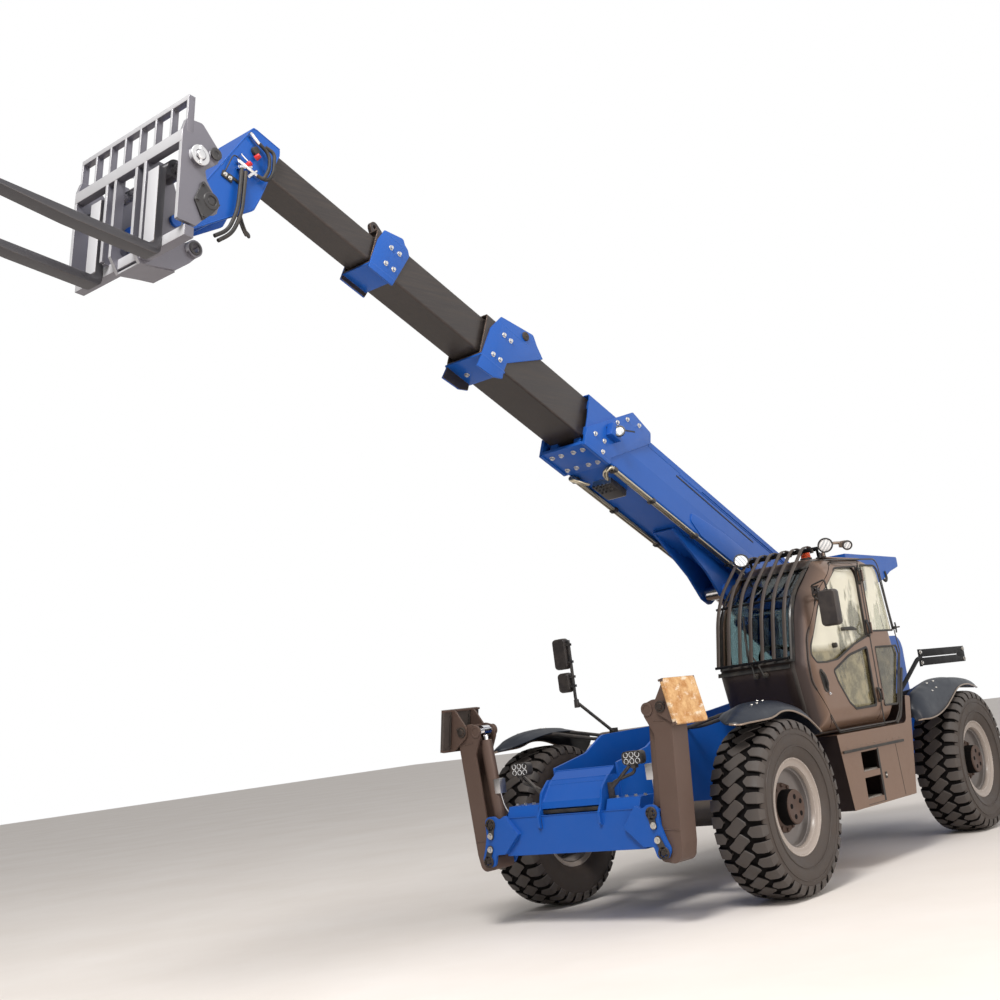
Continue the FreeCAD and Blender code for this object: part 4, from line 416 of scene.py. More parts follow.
class Work:
    """Collects solids, in millimetres of one local frame, and makes one piece of them."""

    def __init__(self, place=SHOP):
        self.place = place
        self.bm = bmesh.new()

    def _added(self, verts, bevel, segments=2):
        if bevel:
            edges = {e for v in verts for e in v.link_edges}
            sharp = [e for e in edges if e.is_manifold and e.calc_face_angle(0.0) > 0.6]
            bmesh.ops.bevel(self.bm, geom=sharp, offset=bevel, segments=segments, affect="EDGES",
                            profile=0.6, clamp_overlap=True)

    def box(self, x0, x1, y0, y1, z0, z1, bevel=1.5):
        made = bmesh.ops.create_cube(self.bm, size=1.0)["verts"]
        centre = Vector(((x0 + x1) / 2.0, (y0 + y1) / 2.0, (z0 + z1) / 2.0))
        for v in made:
            v.co = Vector((v.co.x * (x1 - x0), v.co.y * (y1 - y0), v.co.z * (z1 - z0))) + centre
        self._added(made, bevel)

    def band(self, one, two):
        """Faces between two closed loops of as many vertices."""
        count = len(one)
        return [self.bm.faces.new((one[i], one[(i + 1) % count], two[(i + 1) % count], two[i]))
                for i in range(count)]

    def slab(self, near, far):
        """Closed solid between two outlines of as many vertices."""
        faces = [self.bm.faces.new(near), self.bm.faces.new(list(reversed(far)))]
        for i in range(len(near)):
            j = (i + 1) % len(near)
            faces.append(self.bm.faces.new((near[j], near[i], far[i], far[j])))
        bmesh.ops.recalc_face_normals(self.bm, faces=faces)

    def prism(self, outline, low, high, plane="xz", bevel=1.5):
        """Outline in two axes, given depth along the third."""
        place = {"xz": lambda a, b, c: (a, c, b), "yz": lambda a, b, c: (c, a, b),
                 "xy": lambda a, b, c: (a, b, c)}[plane]
        near = [self.bm.verts.new(place(a, b, low)) for a, b in outline]
        far = [self.bm.verts.new(place(a, b, high)) for a, b in outline]
        self.slab(near, far)
        self._added(near + far, bevel)

    def rod(self, a, b, radius, end=None, sides=24, bevel=0.0):
        """Round bar from a to b, tapering to the end radius if there is one."""
        a, b = Vector(a), Vector(b)
        turn = (b - a).to_track_quat("Z", "Y").to_matrix().to_4x4()
        made = bmesh.ops.create_cone(self.bm, cap_ends=True, segments=sides, radius1=radius,
                                     radius2=radius if end is None else end, depth=(b - a).length,
                                     matrix=Matrix.Translation((a + b) / 2.0) @ turn)["verts"]
        self._added(made, bevel)

    def lathe(self, profile, centre, axis, sides=48, closed=True):
        """Profile of (distance along axis, radius) turned about the axis."""
        turn = Vector(axis).to_track_quat("Z", "Y").to_matrix()
        rings = []
        for d, r in profile:
            ring = []
            for i in range(sides):
                t = 2.0 * math.pi * i / sides
                ring.append(self.bm.verts.new(Vector(centre) + turn @ Vector((r * math.cos(t), r * math.sin(t), d))))
            rings.append(ring)
        pairs = list(zip(rings, rings[1:]))
        if closed:
            pairs.append((rings[-1], rings[0]))
        faces = []
        for one, two in pairs:
            faces += self.band(one, two)
        if not closed:
            faces.append(self.bm.faces.new(list(reversed(rings[0]))))
            faces.append(self.bm.faces.new(rings[-1]))
        bmesh.ops.recalc_face_normals(self.bm, faces=faces)

    def bolt(self, at, axis, across=22.0, high=12.0, washer=True):
        """Hexagon head on a washer, standing on a surface."""
        at, axis = Vector(at), Vector(axis).normalized()
        if washer:
            self.rod(at, at + axis * 2.5, across * 0.78, sides=20)
        base = at + axis * 2.0
        self.rod(base, base + axis * high, across * 0.577, across * 0.55, sides=6, bevel=0.0)

    def pipe(self, points, radius, sides=12, bend=None):
        """Round bar along straight runs with rounded corners."""
        path = rounded(points, bend or radius * 4.0)
        rings = []
        side = None
        for i, p in enumerate(path):
            before = path[max(0, i - 1)]
            after = path[min(len(path) - 1, i + 1)]
            ahead = (after - before).normalized()
            if side is None:
                side = ahead.orthogonal().normalized()
            side = (side - ahead * side.dot(ahead)).normalized()
            up = ahead.cross(side)
            rings.append([self.bm.verts.new(p + side * (radius * math.cos(2 * math.pi * k / sides))
                                            + up * (radius * math.sin(2 * math.pi * k / sides)))
                          for k in range(sides)])
        faces = [self.bm.faces.new(list(reversed(rings[0]))), self.bm.faces.new(rings[-1])]
        for one, two in zip(rings, rings[1:]):
            faces += self.band(one, two)
        bmesh.ops.recalc_face_normals(self.bm, faces=faces)

    def make(self, name, body, key, smooth=32.0):
        mesh = bpy.data.meshes.new(name)
        self.bm.transform(self.place)
        if self.place.to_3x3().determinant() < 0:
            bmesh.ops.reverse_faces(self.bm, faces=self.bm.faces[:])
        self.bm.to_mesh(mesh)
        self.bm.free()
        mesh.materials.append(FINISHES[key])
        piece = bpy.data.objects.new(name, mesh)
        bpy.context.scene.collection.objects.link(piece)
        mesh.shade_smooth()
        mesh.set_sharp_from_angle(angle=math.radians(smooth))
        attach(piece, body)
        return piece


def rounded(points, bend):
    """The same run of points with an arc in place of each inner corner."""
    points = [Vector(p) for p in points]
    path = [points[0]]
    for before, here, after in zip(points, points[1:], points[2:]):
        a, b = (before - here), (after - here)
        reach = min(bend, a.length * 0.48, b.length * 0.48)
        start, stop = here + a.normalized() * reach, here + b.normalized() * reach
        steps = 7
        for k in range(steps):
            t = k / (steps - 1)
            path.append(start * (1 - t) ** 2 + here * (2 * t * (1 - t)) + stop * t ** 2)
    path.append(points[-1])
    return path


# Outlines
def curved(points, steps=6):
    """Closed outline with an arc in place of each corner that carries a radius."""
    out = []
    for i, p in enumerate(points):
        here = Vector(p[:2])
        radius = p[2] if len(p) > 2 else 0.0
        if not radius:
            out.append(here)
            continue
        before, after = Vector(points[i - 1][:2]), Vector(points[(i + 1) % len(points)][:2])
        a, b = (before - here).normalized(), (after - here).normalized()
        half = a.angle(b) / 2.0
        reach = radius / math.tan(half)
        centre = here + (a + b).normalized() * (radius / math.sin(half))
        u, v = here + a * reach - centre, here + b * reach - centre
        for k in range(steps + 1):
            out.append(centre + u.lerp(v, k / steps).normalized() * radius)
    kept = [p for i, p in enumerate(out) if (p - out[i - 1]).length > 0.2]
    return kept


def inset(outline, depth):
    """The outline moved inwards by depth."""
    count = len(outline)
    area = sum(a.x * b.y - b.x * a.y for a, b in zip(outline, outline[1:] + outline[:1]))
    side = 1.0 if area > 0 else -1.0
    out = []
    for i, p in enumerate(outline):
        a = (p - outline[i - 1]).normalized()
        b = (outline[(i + 1) % count] - p).normalized()
        m = (a + b).normalized()
        out.append(p + Vector((-m.y, m.x)) * (side * depth / max(0.5, m.dot(a))))
    return out


def ring(work, outline, width, low, high, surface, shift=0.0):
    """Raised strip that follows an outline on a surface, inside it by shift."""
    rows = []
    for share, out in ((0.0, low), (0.0, high * 0.5), (0.25, high), (0.75, high), (1.0, high * 0.5), (1.0, low)):
        rows.append([work.bm.verts.new(surface(p, out)) for p in inset(outline, shift + width * share)])
    faces = []
    for one, two in zip(rows, rows[1:] + rows[:1]):
        faces += work.band(one, two)
    bmesh.ops.recalc_face_normals(work.bm, faces=faces)


def sheet_on(work, outline, low, high, surface):
    """Thin plate with an outline, lying on a surface."""
    near = [work.bm.verts.new(surface(p, low)) for p in outline]
    far = [work.bm.verts.new(surface(p, high)) for p in outline]
    work.slab(near, far)


def skin_between(work, loops):
    """Closed skin over loops of vertices, capped at both ends."""
    faces = [work.bm.faces.new(loops[0]), work.bm.faces.new(loops[-1])]
    for one, two in zip(loops, loops[1:]):
        faces += work.band(one, two)
    bmesh.ops.recalc_face_normals(work.bm, faces=faces)


def pillow(work, outline, steps, place):
    """Closed form of one outline inset by each step; place turns a step and a point into a corner."""
    skin_between(work, [[work.bm.verts.new(place(step, p)) for p in inset(outline, deep)]
                        for step, deep in steps])


def sweep(work, path, section, up=(0, 0, 1)):
    """Flat section of (sideways, upward) points carried along a path of straight steps."""
    path = [Vector(p) for p in path]
    rings = []
    for i, p in enumerate(path):
        ahead = (path[min(len(path) - 1, i + 1)] - path[max(0, i - 1)]).normalized()
        side = ahead.cross(Vector(up)).normalized()
        top = side.cross(ahead).normalized()
        rings.append([work.bm.verts.new(p + side * a + top * b) for a, b in section])
    skin_between(work, rings)


# Wheels

PITCHES = 34
CENTRE_BLOCK = [(-96, 14), (-40, -22), (-24, -40), (22, -72), (38, -70), (94, -32), (96, -14), (40, 22), (24, 40),
                (-22, 72), (-38, 70), (-94, 32)]
SHOULDER_PATH = [(88, 637, 6), (112, 635, 38), (163, 628, 42), (190, 616, 43), (205, 592, 40), (209, 560, 34)]
CARCASS = [(-150, 340), (-166, 352), (-186, 392), (-203, 440), (-207, 500), (-203, 548), (-194, 580),
           (-150, 600), (-100, 607), (0, 610), (100, 607), (150, 600), (194, 580), (203, 548), (207, 500),
           (203, 440), (186, 392), (166, 352), (150, 340), (150, 318), (-150, 318)]
# Ring under the blocks in painted shade, so that the grooves between them are black
TREAD_BASE = [(-188, 590), (-150, 604), (-100, 611.5), (0, 614.5), (100, 611.5), (150, 604), (188, 590), (150, 570),
              (-150, 570)]
LUG_FOOT = 600.0
LUG_ROUND = 5.0
SHOULDER_SHIFT = 40.0


def rise_in(value, low, high):
    """Smooth share from 0 at low to 1 at high."""
    t = max(0.0, min(1.0, (value - low) / (high - low)))
    return t * t * (3.0 - 2.0 * t)


def crown(y):
    """Radius of the tread's top, y across it."""
    return TYRE_RADIUS - 1.0 - 5.0 * (y / 110.0) ** 2


def on_tread(u, y, r):
    """Point at u along the tread, y across it and radius r."""
    t = u / TYRE_RADIUS
    return Vector((r * math.sin(t), y, r * math.cos(t)))


def centre_block(work, offset):
    """Slanted block in the middle of the tread, with its top edge rounded and painted shade on its sides."""
    outline = [(u + offset, y * 0.90) for y, u in CENTRE_BLOCK]
    foot = [work.bm.verts.new(on_tread(offset + (u - offset) * 1.06, y * 1.05, LUG_FOOT)) for u, y in outline]
    side = [work.bm.verts.new(on_tread(u, y, crown(y) - LUG_ROUND)) for u, y in outline]
    top = [work.bm.verts.new(on_tread(offset + (u - offset) * 0.94, y * 0.95, crown(y))) for u, y in outline]
    hub = work.bm.verts.new(on_tread(offset, 0.0, crown(0.0)))
    count = len(outline)
    faces = []
    for i in range(count):
        j = (i + 1) % count
        faces.append(work.bm.faces.new((foot[i], foot[j], side[j], side[i])))
        # Painted shade on the block's sides, from its foot to the rounded edge.
        faces[-1].material_index = 1
        faces.append(work.bm.faces.new((side[i], side[j], top[j], top[i])))
        faces.append(work.bm.faces.new((top[i], top[j], hub)))
    faces.append(work.bm.faces.new(foot))
    bmesh.ops.recalc_face_normals(work.bm, faces=faces)


def shoulder_block(work, offset, side):
    """Lug from the tread's edge over the shoulder and a little down the wall."""
    rows = []
    for y, r, half in SHOULDER_PATH:
        sunk = 26.0 if r > LUG_FOOT else 16.0
        across = [(-half - 3, r - sunk), (-half, r - LUG_ROUND), (-half * 0.9, r), (half * 0.9, r),
                  (half, r - LUG_ROUND), (half + 3, r - sunk)]
        inward = 0.0 if r > LUG_FOOT else 1.0
        rows.append([work.bm.verts.new(on_tread(offset + u, side * (y - inward * (r - q) * 0.7), q))
                     for u, q in across])
    last = SHOULDER_PATH[-1]
    rows.append([work.bm.verts.new(on_tread(offset + u * 0.9, side * 192.0, last[1] - 14.0))
                 for u in (-last[2], -last[2] * 0.9, -last[2] * 0.5, last[2] * 0.5, last[2] * 0.9, last[2])])
    faces = []
    for one, two in zip(rows, rows[1:]):
        for i in range(5):
            faces.append(work.bm.faces.new((one[i], one[i + 1], two[i + 1], two[i])))
            # Painted shade on the lug's two outer sides.
            faces[-1].material_index = 1 if i in (0, 4) else 0
        faces.append(work.bm.faces.new((one[5], one[0], two[0], two[5])))
    faces.append(work.bm.faces.new(rows[0]))
    faces.append(work.bm.faces.new(rows[-1]))
    bmesh.ops.recalc_face_normals(work.bm, faces=faces)


# Rings of the wheel, each corner as (distance outboard, radius)
RIM_PROFILE = [
    (150, 346), (154, 352), (163, 352), (168, 347), (167, 340), (158, 335), (152, 326), (149, 312), (150, 300),
    (148, 292), (138, 286), (120, 282), (112, 286), (120, 296), (130, 300), (0, 304), (-150, 312), (-164, 332),
    (-170, 346), (-166, 352), (-156, 352), (-152, 334), (-140, 316), (0, 310), (140, 306), (146, 330),
]
WELL_PROFILE = [
    (118, 280), (104, 277), (100, 272), (66, 272), (56, 268), (46, 256), (40, 236), (38, 190), (40, 120), (24, 120),
    (22, 190), (26, 250), (30, 285), (-110, 292), (-140, 300), (-148, 306), (0, 300), (110, 290),
]


HUB_PROFILE = [
    (-104, 60), (-104, 150), (30, 150), (30, 178), (50, 178), (54, 172), (58, 140), (66, 128), (150, 124),
    (156, 118), (157, 60), (152, 50), (151, 2), (-104, 2),
]
# Painted shade: thin dark rings on the hub's drum, where it lies in shade.
HUB_PAINTED_SHADE = ([(-60, 150.6), (28, 150.6), (29, 149), (-60, 149)],
            [(66, 129.5), (146, 125.5), (146, 124), (66, 127)])


def tyre(tag, place, body):
    """Carcass with two ribs on the wall, the base of the tread in painted shade, and its blocks with painted shade on
    their sides.
    """
    work = Work(place)
    work.lathe(CARCASS, ORIGIN, SIDEWAYS, 96)
    for r, y in ((432, 203), (520, 207)):
        work.lathe([(y - 3, r - 5), (y + 3, r - 3), (y + 3, r + 3), (y - 3, r + 5)], ORIGIN, SIDEWAYS, 96)
    carcass = work.make("carcass_" + tag, body, "groove")
    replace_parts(carcass, body)
    work = Work(place)
    work.lathe(TREAD_BASE, ORIGIN, SIDEWAYS, 96)
    work.make("tread_base_" + tag, body, "shadow")
    work = Work(place)
    pitch = 2.0 * math.pi * TYRE_RADIUS / PITCHES
    for i in range(PITCHES):
        centre_block(work, i * pitch)
        shoulder_block(work, i * pitch + SHOULDER_SHIFT, 1.0)
        shoulder_block(work, i * pitch - SHOULDER_SHIFT, -1.0)
    tread = work.make("tread_" + tag, body, "tyre", 28.0)
    # Second slot: painted shade on the blocks' sides.
    tread.data.materials.append(FINISHES["shadow"])


def rim_and_hub(tag, place, body):
    """Rim, its well painted darker as shade, the hub with twelve nuts, and painted shade in the hub's holes and on two
    bands of its drum.
    """
    for name, key, profile in (("rim_", "rim", RIM_PROFILE), ("rim_well_", "rim_well", WELL_PROFILE)):
        work = Work(place)
        work.lathe(profile, ORIGIN, SIDEWAYS, 96)
        work.make(name + tag, body, key)
    work = Work(place)
    work.lathe(HUB_PROFILE, ORIGIN, SIDEWAYS, 64)
    for x, z in around(12, 160.0):
        work.bolt((x, 50, z), SIDEWAYS, 26.0, 16.0)
    work.make("hub_" + tag, body, "hub")
    work = Work(place)
    # Painted shade: dark discs in the hub's holes.
    for x, z in around(5, 74.0, 8.0):
        work.lathe([(156.2, 19), (158.4, 18), (157.6, 1), (156.2, 1)], (x, 0, z), SIDEWAYS, 20)
    for profile in HUB_PAINTED_SHADE:
        work.lathe(profile, ORIGIN, SIDEWAYS, 48)
    work.make("hub_hole_shade_" + tag, body, "shadow")


def wheel(tag, front, left):
    centre = Matrix.Translation((0.0 if front else -WHEELBASE, HALF_TRACK if left else -HALF_TRACK, TYRE_RADIUS))
    place = SHOP @ centre @ Matrix.Rotation(0.0 if left else math.pi, 4, "Z")
    tyre(tag, place, "wheel_" + tag)
    rim_and_hub(tag, place, "wheel_" + tag)


# Finish of each CAD node that stays in view
NODE_LOOKS = {
    "frame_main": "blue", "counterweight": "blue", "front_beam": "blue", "driveline": "iron",
    "engine_hood": "bronze", "step_cabinet": "bronze", "cab_shell": "bronze", "cab_glass": "glass",
    "cab_guard": "dark", "cab_interior": "plastic", "cab_door": "bronze", "door_glass": "glass",
    "fenders": "fender", "rear_housing": "blue", "lamps": "plastic", "mirrors": "plastic",
    "door_mirror": "shell", "rear_bracket": "dark",
    "boom_outer": "blue", "boom_second": "section", "boom_third": "section", "boom_fourth": "section",
    "boom_head": "blue", "boom_pipes": "pipe", "energy_chain": "plastic", "lift_barrel": "blue",
    "lift_rod": "chrome", "carriage": "carriage", "forks": "fork",
}
for side in ("l", "r"):
    NODE_LOOKS.update({"leg_" + side: "leg", "foot_" + side: "leg", "leg_barrel_" + side: "leg",
                       "leg_rod_" + side: "chrome"})
for tag in ("fl", "fr", "rl", "rr"):
    NODE_LOOKS["knuckle_" + tag] = "iron"


# Cab: seals, seams, hinges, handle and wipers

CAB_OUT_Y = 1150.0
CAB_IN_Y = 318.0
CAB_ROUND = 200.0
CAB_SIDE = [
    (-700.0, 1090.0, 30.0), (-560.0, 1650.0, 260.0), (-700.0, 2180.0, 500.0), (-1150.0, 2510.0, 160.0),
    (-1400.0, 2525.0, 60.0), (-2235.0, 2525.0, 120.0), (-2312.0, 2080.0, 900.0), (-2400.0, 1690.0, 60.0),
    (-2170.0, 1180.0, 100.0), (-2060.0, 1090.0, 60.0),
]
DOOR_OUTLINE = [
    (-1822.0, 1100.0), (-962.0, 1100.0, 60.0), (-692.0, 1500.0, 250.0), (-668.0, 1660.0, 250.0),
    (-720.0, 1880.0, 300.0), (-960.0, 2200.0, 500.0), (-1400.0, 2478.0, 160.0), (-1822.0, 2478.0),
]
DOOR_UPPER = [
    (-1768.0, 1838.0, 20.0), (-1500.0, 1778.0, 400.0), (-1150.0, 1668.0, 100.0), (-950.0, 1652.0, 60.0),
    (-770.0, 1655.0, 60.0), (-715.0, 1720.0, 60.0), (-735.0, 1800.0, 180.0), (-985.0, 2160.0, 500.0),
    (-1400.0, 2425.0, 160.0), (-1768.0, 2440.0, 20.0),
]
DOOR_LOWER = [
    (-1730.0, 1756.0, 30.0), (-1730.0, 1260.0, 30.0), (-1339.0, 1256.0, 60.0), (-1236.0, 1311.0, 80.0),
    (-1086.0, 1491.0, 200.0), (-1040.0, 1585.0, 20.0), (-1369.0, 1702.0, 500.0),
]
REAR_QUARTER = [
    (-1862.0, 2452.0, 20.0), (-2200.0, 2452.0, 110.0), (-2280.0, 2060.0, 600.0), (-2318.0, 1875.0, 25.0),
    (-1862.0, 1877.0, 20.0),
]
LOW_QUARTER = [
    (-1880.0, 1748.0, 20.0), (-2322.0, 1748.0, 30.0), (-2350.0, 1672.0, 40.0), (-2152.0, 1246.0, 30.0),
    (-1880.0, 1248.0, 20.0),
]
RIGHT_PANE = [
    (-820.0, 1500.0, 60.0), (-860.0, 2100.0, 150.0), (-1150.0, 2380.0, 80.0), (-2130.0, 2400.0, 80.0),
    (-2270.0, 1720.0, 60.0), (-2150.0, 1500.0, 60.0),
]
SIDE_RIM = curved(CAB_SIDE, 14)
FRONT_RIM = [(a, b) for a, b in zip(SIDE_RIM, SIDE_RIM[1:] + SIDE_RIM[:1]) if max(a.x, b.x) > -1240.0
             and (a.y + b.y) / 2.0 > 1096.0]


def to_front(p):
    """Nearest point of the cab's front edge, seen from the side."""
    best = None
    for a, b in FRONT_RIM:
        along = max(0.0, min(1.0, (p - a).dot(b - a) / (b - a).length_squared))
        near = a.lerp(b, along)
        if best is None or (near - p).length < (best - p).length:
            best = near
    return best


def cab_wall(p, out):
    """Point on the cab's left wall and its rounded front corner."""
    near = to_front(p)
    deep = (near - p).length
    if deep >= CAB_ROUND:
        return Vector((p.x, CAB_OUT_Y + out, p.y))
    ahead = (near - p).normalized() if deep > 0.01 else Vector((1, 0))
    lean = (CAB_ROUND - deep) / CAB_ROUND
    rise = math.sqrt(max(0.0, 1.0 - lean * lean))
    spot = p + ahead * (out * lean)
    return Vector((spot.x, CAB_OUT_Y - CAB_ROUND * (1.0 - rise) + out * rise, spot.y))


def cab_front(z, y, out):
    """Point on the windscreen's curve at a height, y across, out millimetres proud."""
    best = min(FRONT_RIM, key=lambda e: abs((e[0].y + e[1].y) / 2.0 - z))
    a, b = best
    t = 0.0 if abs(b.y - a.y) < 0.01 else (z - a.y) / (b.y - a.y)
    x = a.x + (b.x - a.x) * t
    normal = Vector(((b.y - a.y), 0, -(b.x - a.x))).normalized()
    if normal.x < 0:
        normal.negate()
    return Vector((x, y, z)) + normal * out


def right_wall(p, out):
    """Point on the cab's flat right wall."""
    return Vector((p.x, CAB_IN_Y - out, p.y))


def cab_seals():
    """Seals round the fixed panes and the door's panes, and dark borders."""
    work = Work()
    ring(work, curved(DOOR_OUTLINE, 12), 5.0, -4.0, 1.5, cab_wall, -5.5)
    for outline in (REAR_QUARTER, LOW_QUARTER):
        ring(work, curved(outline, 12), 16.0, -6.0, 3.0, cab_wall, -4.0)
    ring(work, curved(RIGHT_PANE, 12), 18.0, -6.0, 3.0, right_wall, -5.0)
    work.make("cab_seals", "chassis", "seal")

    work = Work()
    ring(work, curved(DOOR_UPPER, 14), 15.0, -6.0, 3.0, cab_wall, -4.0)
    ring(work, curved(DOOR_LOWER, 14), 20.0, -6.0, 3.5, cab_wall, -6.0)
    work.make("door_seals", "cab_door", "seal")

    work = Work()
    ring(work, SIDE_RIM, 13.0, -3.0, 2.5, cab_wall, 13.0)
    work.make("cab_border", "chassis", "frame")
    work = Work()
    ring(work, curved(DOOR_OUTLINE, 14), 7.0, -2.0, 2.0, cab_wall, 7.5)
    work.make("door_border", "cab_door", "frame")


def cab_rear_seal():
    """Seal down the rear lower corner of the cab's side."""
    work = Work()
    sweep(work, [(-2340.0, CAB_OUT_Y + 2.0, 1545.0), (-2183.0, CAB_OUT_Y + 2.0, 1202.0),
                 (-2140.0, CAB_OUT_Y + 2.0, 1142.0), (-2052.0, CAB_OUT_Y + 2.0, 1094.0)],
          [(-10, -9), (10, -9), (12, 0), (10, 9), (-10, 9)], (0, 1, 0))
    work.make("cab_rear_seal", "chassis", "seal")


GLASS_LEFT, GLASS_RIGHT = CAB_OUT_Y - 95.0, CAB_IN_Y + 95.0
STRIP = [(-9, -5), (9, -5), (9, 3), (-9, 3)]


def windscreen_frame():
    """Black strips round the windscreen and across its foot."""
    work = Work()
    for z in (1697.0, 2432.0):
        sweep(work, [cab_front(z, y, 1.5) for y in (GLASS_RIGHT - 12.0, 500.0, 900.0, GLASS_LEFT + 12.0)],
              STRIP, (1, 0, 0.4))
    for y in (GLASS_RIGHT - 4.0, GLASS_LEFT + 4.0):
        sweep(work, [cab_front(z, y, 1.5) for z in range(1690, 2440, 50)], STRIP, (1, 0, 0))
    sweep(work, [cab_front(1655.0, y, 1.0) for y in (CAB_IN_Y + 60.0, 600.0, 900.0, CAB_OUT_Y - 130.0)],
          [(-16, -5), (16, -5), (16, 5), (-16, 5)], (1, 0, 0.2))
    work.make("windscreen_frame", "chassis", "seal")


def wipers():
    """Two wipers on the windscreen: pivot, arm and blade."""
    work = Work()
    for y0, (y1, z1), (y2, z2) in ((722.0, (690.0, 1760.0), (640.0, 1925.0)),
                                   (805.0, (760.0, 1700.0), (655.0, 1830.0))):
        foot = cab_front(1610.0, y0, 0.0)
        work.rod(foot, cab_front(1610.0, y0, 34.0), 24.0, 20.0, bevel=3.0)
        work.rod(cab_front(1610.0, y0, 34.0), cab_front(1610.0, y0, 46.0), 12.0, bevel=2.0)
        work.pipe([cab_front(1612.0, y0, 40.0), cab_front(z1, y1, 34.0), cab_front(z2, y2, 20.0)], 7.0, bend=30)
        blade = [cab_front(z2 + d, y2 - d * 0.10, 9.0) for d in (-150.0, -60.0, 0.0, 70.0, 170.0)]
        sweep(work, blade, [(-5, -7), (5, -7), (3, 7), (-3, 7)], (1, 0, 0.3))
    work.make("wipers", "chassis", "seal")


def door_handle():
    """Handle in its oval recess."""
    work = Work()
    handle = [(-777.0, 1612.0, 28.0), (-838.0, 1600.0, 28.0), (-905.0, 1440.0, 30.0), (-872.0, 1418.0, 28.0),
              (-830.0, 1440.0, 40.0)]
    oval = curved(handle, 8)
    ring(work, oval, 9.0, -3.0, 5.0, cab_wall, -4.0)
    sheet_on(work, inset(oval, 3.0), -2.0, 2.0, cab_wall)
    grip = [cab_wall(Vector(p), o) for p, o in (((-812.0, 1590.0), 4.0), ((-828.0, 1560.0), 20.0),
                                                ((-856.0, 1490.0), 21.0),
                                                ((-872.0, 1455.0), 5.0))]
    work.pipe(grip, 11.0, bend=25)
    work.make("door_handle", "cab_door", "seal")


def door_key():
    """Lock and key below the handle."""
    work = Work()
    spot = cab_wall(Vector((-893.0, 1408.0)), 0.0)
    work.rod(spot, spot + Vector((2, 14, 0)), 13.0, 11.0, bevel=2.0)
    work.rod(spot + Vector((0, 13, 0)), spot + Vector((2, 22, -3)), 6.0, bevel=1.0)
    work.make("door_key", "cab_door", "chrome")


def door_catch():
    """Knob, catch and lever on the door's pane."""
    work = Work()
    for at, r in (((-1141.0, 1783.0), 22.0), ((-1344.0, 1911.0), 16.0)):
        foot = cab_wall(Vector(at), -20.0)
        work.rod(foot, foot + Vector((0, 34.0, 0)), r, r * 0.9, bevel=4.0)
    work.prism([(-1572.0, 1905.0), (-1560.0, 1893.0), (-1360.0, 1898.0), (-1344.0, 1911.0), (-1360.0, 1924.0),
                (-1480.0, 1928.0)], CAB_OUT_Y + 2.0, CAB_OUT_Y + 14.0, bevel=3.0)
    work.make("door_catch", "cab_door", "seal")


def door_hinges():
    """Dark straps bent out round the hinge line."""
    work = Work()
    for z, high in ((2354.0, 60.0), (1906.0, 58.0), (1347.0, 47.0)):
        work.pipe([(-1782.0, CAB_OUT_Y + 6.0, z + high), (-1760.0, CAB_OUT_Y + 30.0, z + high * 0.5),
                   (-1760.0, CAB_OUT_Y + 34.0, z - high * 0.5), (-1790.0, CAB_OUT_Y + 10.0, z - high)], 8.0, bend=30)
        for dz in (high, -high):
            work.rod((-1786.0, CAB_OUT_Y, z + dz), (-1786.0, CAB_OUT_Y + 20.0, z + dz), 17.0, 15.0, bevel=3.0)
    work.make("door_hinge_straps", "cab_door", "seal")


def quarter_latch():
    """Latch of the rear quarter pane."""
    y, z = CAB_OUT_Y + 10.0, 1898.0
    work = Work()
    work.rod((-2330.0, CAB_OUT_Y - 4.0, z), (-2330.0, CAB_OUT_Y + 26.0, z), 14.0, 12.0, bevel=3.0)
    work.pipe([(-2330.0, y + 10.0, z - 45.0), (-2330.0, y + 14.0, z), (-2330.0, y + 10.0, z + 45.0)], 7.0)
    work.pipe([(-2300.0, y + 8.0, z), (-2400.0, y + 14.0, z + 4.0)], 7.0)
    work.make("quarter_latch", "chassis", "seal")


def cab_posts():
    """Inner post and frame that show through the panes."""
    work = Work()
    work.box(-1830.0, -1790.0, CAB_OUT_Y - 75.0, CAB_OUT_Y - 50.0, 1180.0, 2450.0, 4.0)
    work.box(-2150.0, -1850.0, CAB_IN_Y + 60.0, CAB_IN_Y + 90.0, 1180.0, 1480.0, 4.0)
    work.make("cab_posts", "chassis", "plastic")


# Front beam, stabilisers and what stands on them

BEAM_FACE = 1168.0


def beam_pin_nuts():
    """Slotted nuts on the beam's leg pins."""
    work = Work()
    for side in SIDES:
        for y, z in ((723.0, 768.0), (780.0, 500.0)):
            y *= side
            work.lathe([(0.0, 44), (9.0, 44), (12.0, 41), (12.0, 30), (0.0, 30)], (BEAM_FACE, y, z), (1, 0, 0), 32)
            for dy, dz in around(6, 30.0):
                work.box(BEAM_FACE + 10.0, BEAM_FACE + 21.0, y + dy - 7, y + dy + 7, z + dz - 7, z + dz + 7, 1.5)
            work.rod((BEAM_FACE, y, z), (BEAM_FACE + 16.0, y, z), 20.0, 17.0, bevel=2.0)
    work.make("beam_pin_nuts", "chassis", "iron")


def beam_lock_plates():
    """Rounded plates that lock the leg pins."""
    work = Work()
    for side in SIDES:
        for ends in (((710.0, 786.0), (731.0, 672.0)), ((745.0, 602.0), (786.0, 512.0))):
            (y0, z0), (y1, z1) = ends
            along = Vector((0, (y1 - y0) * side, z1 - z0)).normalized()
            across = Vector((0, along.z, -along.y)) * 24.0
            a, b = Vector((0, y0 * side, z0)), Vector((0, y1 * side, z1))
            points = [a - across, a - along * 14 - across * 0.4, a - along * 14 + across * 0.4, a + across, b + across,
                      b + along * 14 + across * 0.4, b + along * 14 - across * 0.4, b - across]
            work.prism([(p.y, p.z) for p in points], 1168.0, 1180.0, "yz", 2.0)
    work.make("beam_lock_plates", "chassis", "plastic")


